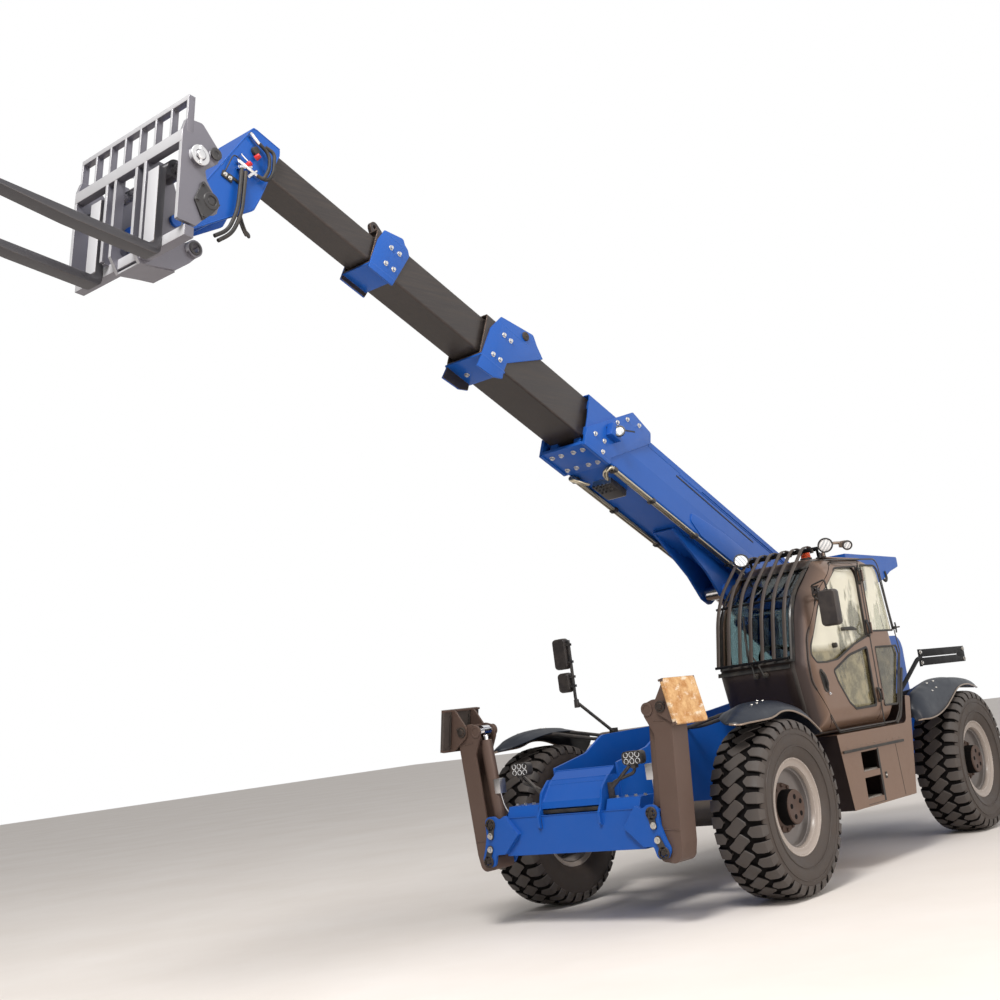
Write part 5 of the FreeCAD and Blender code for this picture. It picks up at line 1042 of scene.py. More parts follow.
def beam_bolts():
    """Bolts of the lock plates and the nose cover."""
    work = Work()
    for side in SIDES:
        for y, z in ((731.0, 686.0), (747.0, 588.0)):
            work.bolt((1180.0, y * side, z), (1, 0, 0), 30.0, 14.0)
    for y in (340.0, 420.0, 500.0, 580.0):
        for side in SIDES:
            work.bolt((1000.0, y * side, 880.0), (0, 0, 1), 22.0, 12.0)
    work.make("beam_bolts", "chassis", "bolt")


def beam_slot_shade():
    """Painted shade in the slots in the beam's face and the nose cover: thin black boxes."""
    work = Work()
    work.box(1130.0, 1134.0, -300.0, -262.0, 708.0, 790.0, 1.0)
    work.box(1103.0, 1106.5, -258.0, 258.0, 812.0, 838.0, 1.0)
    work.make("beam_slot_shade", "chassis", "seal")


def hood_welds():
    """Weld beads along the nose cover and the beam."""
    work = Work()
    for side in SIDES:
        work.pipe([(972.0, 252.0 * side, 1036.0), (1095.0, 252.0 * side, 892.0)], 5.0)
    work.pipe([(880.0, -262.0, 1097.0), (880.0, 262.0, 1097.0)], 5.0)
    work.pipe([(970.0, -262.0, 1038.0), (970.0, 262.0, 1038.0)], 6.0)
    work.pipe([(1134.0, -600.0, 803.0), (1134.0, 600.0, 803.0)], 3.5)
    work.make("hood_welds", "chassis", "blue")


# Work lamps beside the front plates: two rows of three round lights
FRONT_LAMP_FORM = ((952.0, 14.0), (962.0, 2.0), (1002.0, -1.0), (1011.0, 0.0), (1012.0, 7.0), (1006.0, 8.5))
LED_PROFILE = [(0, 21), (3.5, 20), (4.5, 17), (2.0, 15), (0.5, 8), (3.0, 1), (0, 1)]


def front_lamp(tag, left):
    place = on_side(Matrix(), left)
    y0, y1, z0, z1 = 430.0, 596.0, 1095.0, 1190.0
    outline = curved([(y0, z0, 40.0), (y1, z0, 40.0), (y1, z1, 40.0), (y0, z1, 40.0)], 8)
    work = Work(place)
    pillow(work, outline, FRONT_LAMP_FORM, lambda x, p: (x, p.x, p.y))
    for k in range(9):
        y = y0 + 16.0 + k * 16.5
        work.box(936.0, 956.0, y, y + 5.0, z0 + 14.0, z1 - 14.0, 1.0)
    work.pipe([(1018.0, 320.0, 905.0), (1018.0, 325.0, 985.0), (1004.0, 405.0, 1010.0), (985.0, 505.0, 1040.0),
               (985.0, 513.0, 1092.0)], 12.0, bend=60)
    work.box(960.0, 1010.0, 495.0, 531.0, 1070.0, 1096.0, 4.0)
    work.make("front_lamp_body_" + tag, "chassis", "plastic")
    work = Work(place)
    for y in (464.0, 513.0, 562.0):
        for z in (1120.0, 1165.0):
            work.lathe(LED_PROFILE, (1006.5, y, z), (1, 0, 0), 24)
    work.make("front_lamp_leds_" + tag, "chassis", "led")


# Stabilisers: pads with rims and ribs, ears with their pins
PAD_HIGH, PAD_WIDE = 161.0, 205.0
PAD_FORM = ((110.0, 2.0), (116.0, -0.5), (135.0, -0.5), (138.0, 4.0), (138.4, 9.0))


def stabiliser(tag, left):
    foot = on_side(FOOT, left)
    work = Work(foot)
    outline = curved([(-PAD_WIDE, -PAD_HIGH, 26.0), (PAD_WIDE, -PAD_HIGH, 26.0), (PAD_WIDE, PAD_HIGH, 26.0),
                      (-PAD_WIDE, PAD_HIGH, 26.0)], 5)
    pillow(work, outline, PAD_FORM, lambda y, p: (p.x, y, p.y))
    work.make("pad_face_" + tag, "foot_" + tag, "pad" if left else "far_leg")
    work = Work(foot)
    for ear in (-108.0, 108.0):
        for x in (ear - 26.0, ear + 26.0):
            work.prism([(96.0, -120.0), (112.0, -120.0), (112.0, 120.0), (96.0, 120.0)], x - 4.0, x + 4.0, "yz", 2.0)
    for s in (-1.0, 1.0):
        work.lathe([(0.0, 40), (8.0, 40), (11.0, 37), (11.0, 27), (0.0, 27)], (s * 117.0, 0, 0), (s, 0, 0), 28)
        work.rod((s * 117.0, 0, 0), (s * 136.0, 0, 0), 23.0, 20.0, bevel=3.0)
        work.bolt((s * 124.0, 34.0, 14.0), (s, 0, 0), 16.0, 8.0)
    work.make("foot_pins_" + tag, "foot_" + tag, "iron")
    work = Work(on_side(LEG, left))
    for s in (-1.0, 1.0):
        work.lathe([(0.0, 46), (7.0, 46), (9.0, 42), (9.0, 28), (0.0, 28)], (s * 98.5, -63.0, 960.0), (s, 0, 0), 28)
    for z in (150.0, 880.0):
        work.pipe([(99.0, -18.0, z), (99.0, 122.0, z)], 3.5)
    work.make("leg_rings_" + tag, "leg_" + tag, "leg")


# Boom: bevelled plates over the collars and the side patch, slots, bolts, pipes and lamp

COLLAR_ONE = [(5232.0, -303.0), (5232.0, -146.0), (4698.0, 306.0, 20.0), (4432.0, 262.0, 20.0), (4416.0, 169.0),
              (4902.0, -246.0), (4906.0, -303.0)]
COLLAR_TWO = [(6307.0, 206.0, 10.0), (5945.0, 278.0, 30.0), (5885.0, 214.0, 20.0), (5798.0, 149.0), (5814.0, 137.0),
              (6167.0, -123.0), (6183.0, -205.0), (6183.0, -270.0), (6273.0, -313.0), (6452.0, -323.0),
              (6433.0, -234.0), (6389.0, 57.0)]
COLLAR_THREE = [(7510.0, 139.0), (7339.0, 189.0, 20.0), (7315.0, 155.0), (7279.0, 136.0), (7253.0, 96.0),
                (7337.0, -214.0), (7566.0, -215.0), (7545.0, 35.0)]
SIDE_PATCH = [(2300.0, -270.0), (2300.0, -60.0, 60.0), (3200.0, -75.0, 200.0), (3733.0, -130.0, 30.0),
              (3733.0, -210.0, 30.0), (3563.0, -270.0)]


def side_plate(work, outline, half, thick, grow=1.2, bevel=3.0):
    """Plate on both sides of the boom, half out from its middle."""
    for side in SIDES:
        y0, y1 = span(side, half - 0.5, half + thick + 1.2)
        work.prism([(p.x, p.y) for p in inset(curved(outline, 4), -grow)], y0, y1, "xz", bevel)


def bolts(work, spots, half, across=26.0, high=13.0):
    for s, h in spots:
        for side in SIDES:
            work.bolt((s, side * half, h), (0, side, 0), across, high)


# Half widths of the outer, second and third sections
OUTER, SECOND, THIRD = 214.0, 162.5, 129.5


def collar_plates():
    """Bevelled plates over the three collars and the outer section's side patch."""
    work = Work(BOOM)
    side_plate(work, COLLAR_ONE, OUTER - 8.0, 20.0)
    side_plate(work, SIDE_PATCH, OUTER - 8.0, 16.0, bevel=4.0)
    work.box(4890.0, 5233.0, -227.0, 227.0, -292.0, -277.0, 3.0)
    work.make("collar_one_plates", "boom_outer", "blue")
    work = Work(BOOM)
    side_plate(work, COLLAR_TWO, SECOND, 12.0)
    work.box(6169.0, 6442.0, -176.0, 176.0, -218.0, -203.0, 3.0)
    work.box(5979.0, 6282.0, -176.0, 176.0, 149.5, 161.5, 3.0)
    work.make("collar_two_plates", "boom_second", "blue")
    work = Work(BOOM)
    side_plate(work, COLLAR_THREE, THIRD, 12.0)
    work.box(7336.0, 7561.0, -143.0, 143.0, -178.0, -165.0, 3.0)
    work.box(7349.0, 7502.0, -143.0, 143.0, 121.5, 133.0, 3.0)
    work.make("collar_three_plates", "boom_third", "blue")


def outer_slot_shade():
    """Two long slots on each side of the outer section, filled with painted shade."""
    work = Work(BOOM)
    for side in SIDES:
        for (s0, h0), (s1, h1), out in (((3986.0, 99.0), (2724.0, 86.0), -6.0),
                                        ((5005.0, -20.0), (4640.0, 150.0), 14.0)):
            across = Vector((-(h1 - h0), s1 - s0)).normalized() * SLOT_HALF
            y0, y1 = span(side, OUTER - 12.0, OUTER + out)
            work.prism([(s0 + across.x, h0 + across.y), (s1 + across.x, h1 + across.y),
                        (s1 - across.x, h1 - across.y), (s0 - across.x, h0 - across.y)], y0, y1, "xz", 1.0)
    work.make("outer_slot_shade", "boom_outer", "painted_slot_shade")


SLOT_HALF = 7.0


def collar_bolts():
    """Bolts on the sides and undersides of the collars."""
    work = Work(BOOM)
    bolts(work, [(4760.0, 200.0), (4600.0, 235.0), (4880.0, 100.0), (5010.0, -150.0), (5130.0, -150.0),
                 (5010.0, -250.0)],
          OUTER + 13.0)
    for y in (-150.0, -60.0, 60.0, 150.0):
        for s in (4960.0, 5160.0):
            work.bolt((s, y, -292.0), (0, 0, -1), 28.0, 14.0)
    work.make("collar_one_bolts", "boom_outer", "bolt")
    work = Work(BOOM)
    bolts(work, [(6250.0, 76.0), (6172.0, 74.0), (6323.0, -144.0), (6244.0, -143.0)], SECOND + 13.0)
    for y in (-90.0, 90.0):
        work.bolt((6290.0, y, -218.0), (0, 0, -1), 26.0, 13.0)
    work.make("collar_two_bolts", "boom_second", "bolt")
    work = Work(BOOM)
    bolts(work, [(7425.0, 47.0), (7345.0, 51.0), (7439.0, -98.0), (7363.0, -97.0)], THIRD + 13.0, 24.0)
    work.make("collar_three_bolts", "boom_third", "bolt")


def collar_two_sheaves():
    """Sheave covers on top of the second collar."""
    work = Work(BOOM)
    for side in SIDES:
        work.lathe([(0, 36), (8, 36), (14, 30), (14, 8), (18, 6), (18, 1), (0, 1)],
                   (6028.0, side * (SECOND + 12.5), 210.0),
                   (0, side, 0), 32)
    work.make("collar_two_sheaves", "boom_second", "iron")


def outer_rails():
    """Crease weld and the raised plate along the top edge."""
    work = Work(BOOM)
    for side in SIDES:
        y0, y1 = span(side, OUTER - 16.0, OUTER - 8.0)
        work.pipe([(3600.0, side * (OUTER - 6.0), 150.0), (1250.0, side * (OUTER - 6.0), 150.0)], 5.0)
        work.prism([(1500.0, 130.0), (3950.0, 130.0), (3920.0, 160.0), (1500.0, 160.0)], y0, y1, "xz", 2.0)
    work.make("outer_rails", "boom_outer", "blue")


def outer_pipes():
    """Cream steel pipes along the lower edge, bent in to the valve block."""
    work = Work(BOOM)
    for y in (175.0, 203.0):
        for side in SIDES:
            work.pipe([(2352.0, side * y, -292.0), (4800.0, side * y, -292.0), (4862.0, side * y, -300.0),
                       (4870.0, side * (y - 20.0), -330.0), (4820.0, side * (y - 60.0), -336.0),
                       (4740.0, side * 95.0, -322.0)], 12.2, bend=38)
    work.make("outer_pipes", "boom_outer", "pipe")


def valve_block():
    """Pipe clips, and the valve block with its ports."""
    work = Work(BOOM)
    for s in (2467.0, 3606.0, 4785.0, 3050.0, 4250.0):
        for side in SIDES:
            y0, y1 = span(side, 154.0, 222.0)
            work.box(s - 4.0, s + 34.0, y0, y1, -309.0, -277.0, 4.0)
            work.bolt((s + 15.0, side * 189.0, -309.0), (0, 0, -1), 16.0, 8.0)
    for s in (4600.0, 4640.0, 4680.0, 4712.0):
        for y in (-60.0, -20.0, 20.0, 60.0):
            work.rod((s, y, -334.0), (s, y, -346.0), 9.0, 7.0, 12)
    work.box(4482.0, 4698.0, -92.0, 92.0, -333.5, -277.0, 5.0)
    work.make("valve_block", "boom_outer", "plastic")


CHAIN_START, CHAIN_END, CHAIN_PITCH = 1512.0, 5830.0, 75.0


def chain_links():
    """Cable carrier's links, each with side plates and a bar."""
    work = Work(BOOM)
    for i in range(int((CHAIN_END - CHAIN_START) / CHAIN_PITCH) + 1):
        s = CHAIN_START + CHAIN_PITCH * i
        for side in SIDES:
            y0, y1 = span(side, 56.0, 63.0)
            work.box(s, s + 68.0, y0, y1, 186.5, 235.5, 6.0)
        work.box(s + 12.0, s + 52.0, -58.0, 58.0, 229.0, 236.5, 2.5)
    work.make("chain_links", "boom_second", "plastic")


def round_lamp(name, place, body, at, aim, radius):
    """Round work lamp: a shallow black bowl with a clear ribbed lens."""
    work = Work(place)
    work.lathe([(-52, 1), (-52, radius * 0.35), (-40, radius * 0.72), (-12, radius), (2, radius + 3), (8, radius + 2),
                (8, radius - 5), (2, radius - 7), (-4, radius - 8), (-10, radius * 0.6), (-12, 1)], at, aim, 40)
    work.make(name + "_bowl", body, "plastic")
    work = Work(place)
    work.lathe([(-3, 1), (-3, radius - 9), (2, radius - 9), (5, radius * 0.7), (6.5, radius * 0.35), (7, 1)], at, aim,
               40)
    work.make(name + "_lens", body, "lens")
def collar_lamp():
    """Lamp on its blue bracket on the outer collar."""
    work = Work(BOOM)
    work.box(4870.0, 5000.0, OUTER + 13.0, OUTER + 71.0, -90.0, 20.0, 6.0)
    work.make("collar_lamp_bracket", "boom_outer", "blue")
    round_lamp("collar_lamp", BOOM, "boom_outer", (4935.0, OUTER + 92.0, -35.0), (0.85, 0.45, -0.1), 44.0)

LIFT_BASE = Vector((-3900.0, 0.0, 960.0))
LIFT_EYE = SHOP.inverted() @ BOOM @ Vector((2950.0, 0.0, -480.0))


def lift_gland():
    """Gland and foot rings of the lift ram, and the pipe along its underside."""
    along = (LIFT_EYE - LIFT_BASE).normalized()
    below = along.cross(Vector(SIDEWAYS)).normalized()

    def at(reach, out):
        return LIFT_BASE + along * reach + below * out

    work = Work()
    work.lathe([(2380, 60), (2380, 93), (2386, 97), (2440, 97), (2446, 92), (2446, 52), (2440, 52), (2438, 60)],
               LIFT_BASE, along, 40)
    work.lathe([(150, 84), (150, 92), (156, 94), (190, 94), (196, 92), (196, 84)], LIFT_BASE, along, 40)
    work.pipe([at(300.0, 70.0), at(300.0, 106.0), at(500.0, 101.0), at(2300.0, 101.0), at(2360.0, 80.0)], 9.0, bend=50)
    work.make("lift_gland", "lift_barrel", "blue")


# Roof: guard bars rounded, lamps, beacon

GUARD_RISE = 52.0
GUARD_OUT = 49.0
GUARD_Y0, GUARD_Y1, BARS = CAB_IN_Y + 75.0, CAB_OUT_Y - 115.0, 7
BAR_SECTION = [(-15.0, -4.2), (-13.5, -5.0), (13.5, -5.0), (15.0, -4.2), (15.0, 4.2), (13.5, 5.0), (-13.5, 5.0),
               (-15.0, 4.2)]


def guard_path(out):
    """Side view of the guard: the cab's front edge moved outward, foot to roof."""
    path = [p for p in inset(SIDE_RIM, -out) if p.x > -1345.0 and p.y > 1700.0]
    path.sort(key=lambda p: math.atan2(p.y - 1500.0, p.x + 1500.0))
    return [Vector((p.x, p.y + GUARD_RISE * rise_in(p.y, 2080.0, 2500.0))) for p in path]
def guard_bars():
    """Seven flat bars from the windscreen's foot up and over the roof's edge."""
    work = Work()
    step = (GUARD_Y1 - GUARD_Y0 - 40.0) / (BARS - 1)
    bar_run = guard_path(GUARD_OUT)
    for i in range(BARS):
        y = GUARD_Y0 + i * step + 20.0
        path = [Vector((p.x, y, p.y)) for p in bar_run]
        tail = path[-1]
        path += [tail + Vector((dx, 0, dz)) for dx, dz in ((-50.0, -4.0), (-76.0, -20.0), (-86.0, -50.0))]
        sweep(work, path, BAR_SECTION, (1.0, 0.0, 0.02))
    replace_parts(work.make("guard_bars", "chassis", "guard"), "cab_guard")


def guard_tubes():
    """Round tubes across the guard bars."""
    work = Work()
    for x, z, r in ((-1200.0, 2585.0, 17.5), (-1320.0, 2596.0, 17.5)):
        work.pipe([(x, GUARD_Y0 - 16.0, z), (x, GUARD_Y1 + 16.0, z)], r, 20)
    for y in (GUARD_Y0 + 6.0, GUARD_Y1 - 6.0):
        work.pipe([(-1320.0, y, 2596.0), (-1352.0, y, 2590.0), (-1362.0, y, 2526.0)], 12.0)
    front_mid = cab_front(2190.0, 0.0, 62.0)
    work.pipe([(front_mid.x + 6.0, GUARD_Y0 - 14.0, 2190.0), (front_mid.x + 6.0, GUARD_Y1 + 10.0, 2196.0)], 10.0, 14)
    front_low = cab_front(1716.0, 0.0, 50.0)
    work.pipe([(front_low.x, GUARD_Y0 - 8.0, 1716.0), (front_low.x, GUARD_Y1 + 8.0, 1716.0)], 11.0, 14)
    work.make("guard_tubes", "chassis", "black")


def roof_lamps():
    """Lamps on the roof's front edge, the housing behind them and their stalks."""
    for name, at, aim, radius in (("roof_lamp_a", (-1000.0, 505.0, 2584.0), (0.72, 0.58, 0.42), 62.0),
                                  ("roof_lamp_b", (-1330.0, 1120.0, 2612.0), (0.75, 0.60, -0.50), 62.0),
                                  ("roof_lamp_c", (-1500.0, 1235.0, 2596.0), (0.75, 0.60, -0.50), 40.0)):
        round_lamp(name, SHOP, "chassis", at, aim, radius)
    work = Work()
    work.box(-1580.0, -1490.0, 1160.0, 1225.0, 2588.0, 2640.0, 8.0)
    work.pipe([(-1360.0, 1090.0, 2610.0), (-1440.0, 1130.0, 2632.0), (-1520.0, 1180.0, 2626.0)], 13.0, bend=40)
    work.pipe([(-1430.0, 1040.0, 2526.0), (-1430.0, 1040.0, 2600.0), (-1440.0, 1128.0, 2630.0)], 12.0, bend=40)
    work.make("roof_lamp_housing", "chassis", "lip")
    work = Work()
    work.pipe([(-1050.0, 480.0, 2535.0), (-1050.0, 480.0, 2560.0)], 9.0)
    work.pipe([(-1060.0, 452.0, 2566.0), (-1230.0, 440.0, 2545.0)], 9.0)
    work.pipe([(-1345.0, 1050.0, 2520.0), (-1345.0, 1050.0, 2565.0)], 9.0)
    work.box(-1380.0, -1345.0, 1010.0, 1090.0, 2519.0, 2528.0, 2.0)
    work.pipe([(-1480.0, 1030.0, 2522.0), (-1480.0, 1030.0, 2580.0), (-1440.0, 1030.0, 2600.0),
               (-1380.0, 1030.0, 2600.0)], 7.0)
    work.make("roof_lamp_stalks", "chassis", "plastic")


def roof_horn():
    """Round cover on the roof."""
    work = Work()
    work.lathe([(0, 1), (0, 30), (10, 33), (26, 33), (40, 30), (44, 22), (46, 1)], (-1480.0, 1000.0, 2526.0), (0, 0, 1),
               32)
    work.make("roof_horn", "chassis", "bronze")


BEACON_AT = (-1390.0, 900.0, 2524.0)


def beacon():
    """Orange beacon with a ribbed dome."""
    work = Work()
    work.lathe([(0, 1), (0, 48), (16, 50), (20, 44), (20, 1)], BEACON_AT, (0, 0, 1), 32)
    work.make("beacon_base", "chassis", "plastic")
    work = Work()
    profile = [(18, 1), (18, 42)]
    for k in range(8):
        z = 24.0 + k * 7.0
        profile += [(z, 42.0 - k * 0.6), (z + 3.5, 39.5 - k * 0.6)]
    profile += [(84, 30), (90, 16), (92, 1)]
    work.lathe(profile, BEACON_AT, (0, 0, 1), 36)
    work.make("beacon", "chassis", "beacon")

def roof_lid():
    """Raised lid on the roof skin."""
    work = Work()
    rim = curved([(-1460.0, 420.0, 60.0), (-1460.0, 1040.0, 60.0), (-2180.0, 1040.0, 60.0), (-2180.0, 420.0, 60.0)], 5)
    pillow(work, rim, ((2520.0, -2.0), (2528.0, 0.0), (2534.0, 8.0), (2536.0, 30.0)), lambda z, p: (p.x, p.y, z))
    work.make("roof_lid", "chassis", "bronze")

# Mirrors: rounded shells, brackets and posts
MIRROR_FORM = ((0.0, 14.0), (0.12, 5.0), (0.35, 0.5), (0.85, 0.0), (1.0, 3.0), (0.97, 8.0))


def mirror_head(name, body, x0, x1, y0, y1, z0, z1):
    outline = curved([(y0, z0, 34.0), (y1, z0, 34.0), (y1, z1, 34.0), (y0, z1, 34.0)], 6)
    work = Work()
    pillow(work, outline, MIRROR_FORM, lambda share, p: (x1 + (x0 - x1) * share, p.x, p.y))
    return work.make(name, body, "shell")


def door_mirror():
    """Mirror on the door: two heads, glass and bracket."""
    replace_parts(mirror_head("door_mirror_head", "cab_door", -853.0, -787.0, 1232.0, 1391.0, 1924.0,
                            2209.0),
                "door_mirror")
    work = Work()
    work.box(-856.0, -852.0, 1241.0, 1382.0, 1934.0, 2199.0, 1.0)
    work.make("door_mirror_glass", "cab_door", "mirror")
    work = Work()
    work.pipe([(-975.0, 1156.0, 2196.0), (-830.0, 1180.0, 2262.0), (-806.0, 1310.0, 2290.0), (-812.0, 1316.0, 2215.0)],
              7.0, bend=24)
    work.pipe([(-988.0, 1156.0, 2150.0), (-850.0, 1175.0, 2172.0), (-820.0, 1235.0, 2196.0)], 7.0, bend=24)
    work.pipe([(-838.0, 1178.0, 2258.0), (-846.0, 1175.0, 2175.0)], 6.0)
    work.pipe([(-820.0, 1310.0, 2214.0), (-820.0, 1310.0, 2198.0)], 12.0)
    work.box(-1004.0, -970.0, 1146.0, 1162.0, 2134.0, 2212.0, 4.0)
    work.make("door_mirror_bracket", "cab_door", "seal")
    mirror_head("door_mirror_small", "cab_door", -870.0, -836.0, 1182.0, 1226.0, 2196.0, 2254.0)


FAR_HEADS = ((-1212.0, -1066.0, 1902.0, 2172.0), (-1200.0, -1070.0, 1700.0, 1872.0))


def far_mirror():
    """Two mirror heads on a post that stands on the right side."""
    for i, (y0, y1, z0, z1) in enumerate(FAR_HEADS):
        head = mirror_head("far_mirror_head_%d" % (i + 1), "chassis", -562.0, -498.0, y0, y1, z0, z1)
        if i == 0:
            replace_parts(head, "mirrors")
    work = Work()
    for y0, y1, z0, z1 in FAR_HEADS:
        work.box(-566.0, -560.0, y0 + 10.0, y1 - 10.0, z0 + 12.0, z1 - 12.0, 1.0)
    work.make("far_mirror_glass", "chassis", "mirror")
    work = Work()
    work.pipe([(-530.0, -1046.0, 2150.0), (-526.0, -1046.0, 1640.0), (-534.0, -1040.0, 1604.0),
               (-764.0, -862.0, 1318.0)],
              14.0, bend=24)
    work.rod((-534.0, -1046.0, 1560.0), (-534.0, -1046.0, 1632.0), 24.0, 22.0, bevel=4.0)
    for z in (1750.0, 1830.0, 1960.0, 2110.0):
        work.box(-546.0, -506.0, -1075.0, -1026.0, z - 11.0, z + 11.0, 3.0)
    work.box(-776.0, -762.0, -905.0, -820.0, 1270.0, 1350.0, 3.0)
    work.make("far_mirror_post", "chassis", "plastic")


# Mudguards: domed sheets between an inner edge, a ridge and an outer lip
FRONT_OUTER = [(576, 1050, 1290), (552, 1140, 1275), (457, 1172, 1280), (315, 1189, 1284), (177, 1189, 1289),
               (96, 1189, 1301), (-5, 1189, 1324), (-131, 1189, 1323), (-252, 1189, 1299), (-384, 1189, 1252),
               (-482, 1189, 1198), (-592, 1189, 1124)]
FRONT_RIDGE = [(577, 1050, 1292), (539, 1050, 1319), (420, 1040, 1370), (290, 1030, 1402), (164, 1020, 1415),
               (26, 1020, 1417), (-170, 1035, 1404), (-320, 1055, 1375), (-422, 1090, 1335), (-470, 1115, 1286),
               (-525, 1140, 1221), (-606, 1172, 1124)]
FRONT_INNER = [(574, 1048, 1289), (500, 980, 1305), (400, 900, 1335), (280, 860, 1362), (150, 840, 1378),
               (0, 835, 1380), (-170, 835, 1368), (-330, 840, 1335), (-430, 870, 1292), (-490, 930, 1245),
               (-545, 1020, 1190), (-612, 1120, 1120)]
REAR_OUTER = [(1050, 1110, 1076), (1000, 1165, 1080), (888, 1189, 1080), (702, 1189, 1100), (496, 1189, 1155),
              (338, 1189, 1226), (200, 1189, 1290), (104, 1189, 1319), (-30, 1189, 1331), (-150, 1189, 1322),
              (-277, 1183, 1298), (-420, 1150, 1285), (-560, 1095, 1284), (-622, 1060, 1291)]
REAR_RIDGE = [(1060, 1085, 1110), (1045, 1075, 1200), (975, 1060, 1296), (830, 1060, 1342), (706, 1060, 1366),
              (560, 1060, 1396), (413, 1060, 1415), (300, 1060, 1419), (150, 1060, 1417), (0, 1060, 1411),
              (-120, 1060, 1400), (-250, 1060, 1386), (-450, 1060, 1345), (-624, 1059, 1293)]
REAR_INNER = [(1040, 1040, 1078), (960, 990, 1100), (850, 940, 1150), (740, 905, 1230), (620, 875, 1290),
              (500, 855, 1328), (360, 842, 1358), (250, 836, 1368), (100, 835, 1370), (-50, 835, 1365),
              (-150, 840, 1355), (-280, 862, 1338), (-450, 935, 1312), (-620, 1050, 1289)]
FRONT_BOLTS = ((260, 1100), (170, 1102), (50, 1040), (-30, 1042))
REAR_BOLTS = ((600, 1090), (500, 1092), (660, 1140), (560, 1142))


def smooth_run(points, count):
    """Points at even steps of a smooth curve through the given ones."""
    points = [Vector(p) for p in points]
    out = []
    last = len(points) - 1
    for k in range(count):
        t = last * k / (count - 1)
        i = min(last - 1, int(t))
        t -= i
        a, b = points[i], points[i + 1]
        before = points[i - 1] if i else a * 2.0 - b
        after = points[i + 2] if i + 2 <= last else b * 2.0 - a
        out.append(0.5 * (2.0 * a + (b - before) * t + (2.0 * before - 5.0 * a + 4.0 * b - after) * t * t
                          + (3.0 * a - before - 3.0 * b + after) * t ** 3))
    return out


ACROSS = 26
ALONG = 84
GUARD_THICK = 7.0
MUDGUARD_ARMS = (-120.0, 120.0)


def dome_point(inner, ridge, outer, v):
    """Point at share v across one section of a mudguard."""
    if v < 0.5:
        turn = v * math.pi
        return Vector((inner.x + (ridge.x - inner.x) * v * 2.0, inner.y + (ridge.y - inner.y) * v * 2.0,
                       inner.z + (ridge.z - inner.z) * math.sin(turn)))
    turn = (v - 0.5) * math.pi
    side, drop = math.sin(turn), 1.0 - math.cos(turn)
    return Vector((ridge.x + (outer.x - ridge.x) * (0.5 * side + drop * 0.5), ridge.y + (outer.y - ridge.y) * side,
                   ridge.z + (outer.z - ridge.z) * drop))


def from_middle(p, x):
    """Direction away from the mudguard's middle line at x."""
    return (p - Vector((x * 0.8, 1015.0, 900.0))).normalized()


def mudguard_sheet(inner, ridge, outer):
    """Rows of points on top of the sheet, with a raised panel, and on its underside."""
    top, under = [], []
    for k in range(ALONG):
        u = k / (ALONG - 1)
        row, below = [], []
        for n in range(ACROSS):
            v = n / (ACROSS - 1)
            p = dome_point(inner[k], ridge[k], outer[k], v)
            away = from_middle(p, ridge[k].x)
            panel = rise_in(u, 0.14, 0.19) * rise_in(u, 0.62, 0.55) * rise_in(v, 0.30, 0.36) * rise_in(v, 0.80, 0.72)
            row.append(p + away * (6.0 * panel))
            below.append(p - away * GUARD_THICK)
        top.append(row)
        under.append(below)
    return top, under


def mudguard(tag, x, curves, spots, left):
    """Sheet, lip, bolts and arms of one mudguard; gives the arms."""
    place = on_side(Matrix.Translation((x, 0, 0)), left)
    top, under = mudguard_sheet(*[smooth_run(c, ALONG) for c in curves])
    work = Work(place)
    loops = [[work.bm.verts.new(p) for p in row + below[::-1]] for row, below in zip(top, under)]
    skin_between(work, loops)
    work.make("mudguard_" + tag, "chassis", "fender", 45.0)
    work = Work(place)
    sweep(work, [row[-1] for row in top[2:-1]],
          [(-7, -5), (-4, -8), (3, -8), (6, -5), (6, 4), (3, 7), (-4, 7), (-7, 4)], SIDEWAYS)
    work.make("mudguard_lip_" + tag, "chassis", "lip")
    work = Work(place)
    flat_top = [p for row in top for p in row]
    for a, b in spots:
        p = min(flat_top, key=lambda q: (q.x - a) ** 2 + (q.y - b) ** 2)
        away = from_middle(p, p.x)
        work.rod(p - away, p + away * 5.0, 12.0, 10.0, 20, 1.5)
    work.make("mudguard_bolts_" + tag, "chassis", "bolt")
    work = Work(place)
    for a in MUDGUARD_ARMS:
        p = min(flat_top, key=lambda q: (q.x - a) ** 2 + (q.y - 860.0) ** 2)
        work.pipe([(a, 292.0, 1285.0), (a, 420.0, 1285.0), (a, 800.0, p.z - 26.0), (a, 1010.0, p.z - 14.0)], 14.0,
                  bend=60)
    return work.make("mudguard_arms_" + tag, "chassis", "plastic")


def mudguards():
    """The four mudguards; the front left one's arms stand in for the CAD's sheets."""
    for tag, left in (("fl", True), ("fr", False)):
        arms = mudguard(tag, 0.0, (FRONT_INNER, FRONT_RIDGE, FRONT_OUTER), FRONT_BOLTS, left)
        if left:
            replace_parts(arms, "fenders")
    for tag, left in (("rl", True), ("rr", False)):
        mudguard(tag, -WHEELBASE, (REAR_INNER, REAR_RIDGE, REAR_OUTER), REAR_BOLTS, left)


def cabinet_trim():
    """Rubber strip along the top of the step cabinet."""
    work = Work()
    work.box(-2109.0, -958.0, CAB_OUT_Y + 2.0, CAB_OUT_Y + 15.0, 930.0, 952.0, 4.0)
    work.make("cabinet_trim", "chassis", "seal")


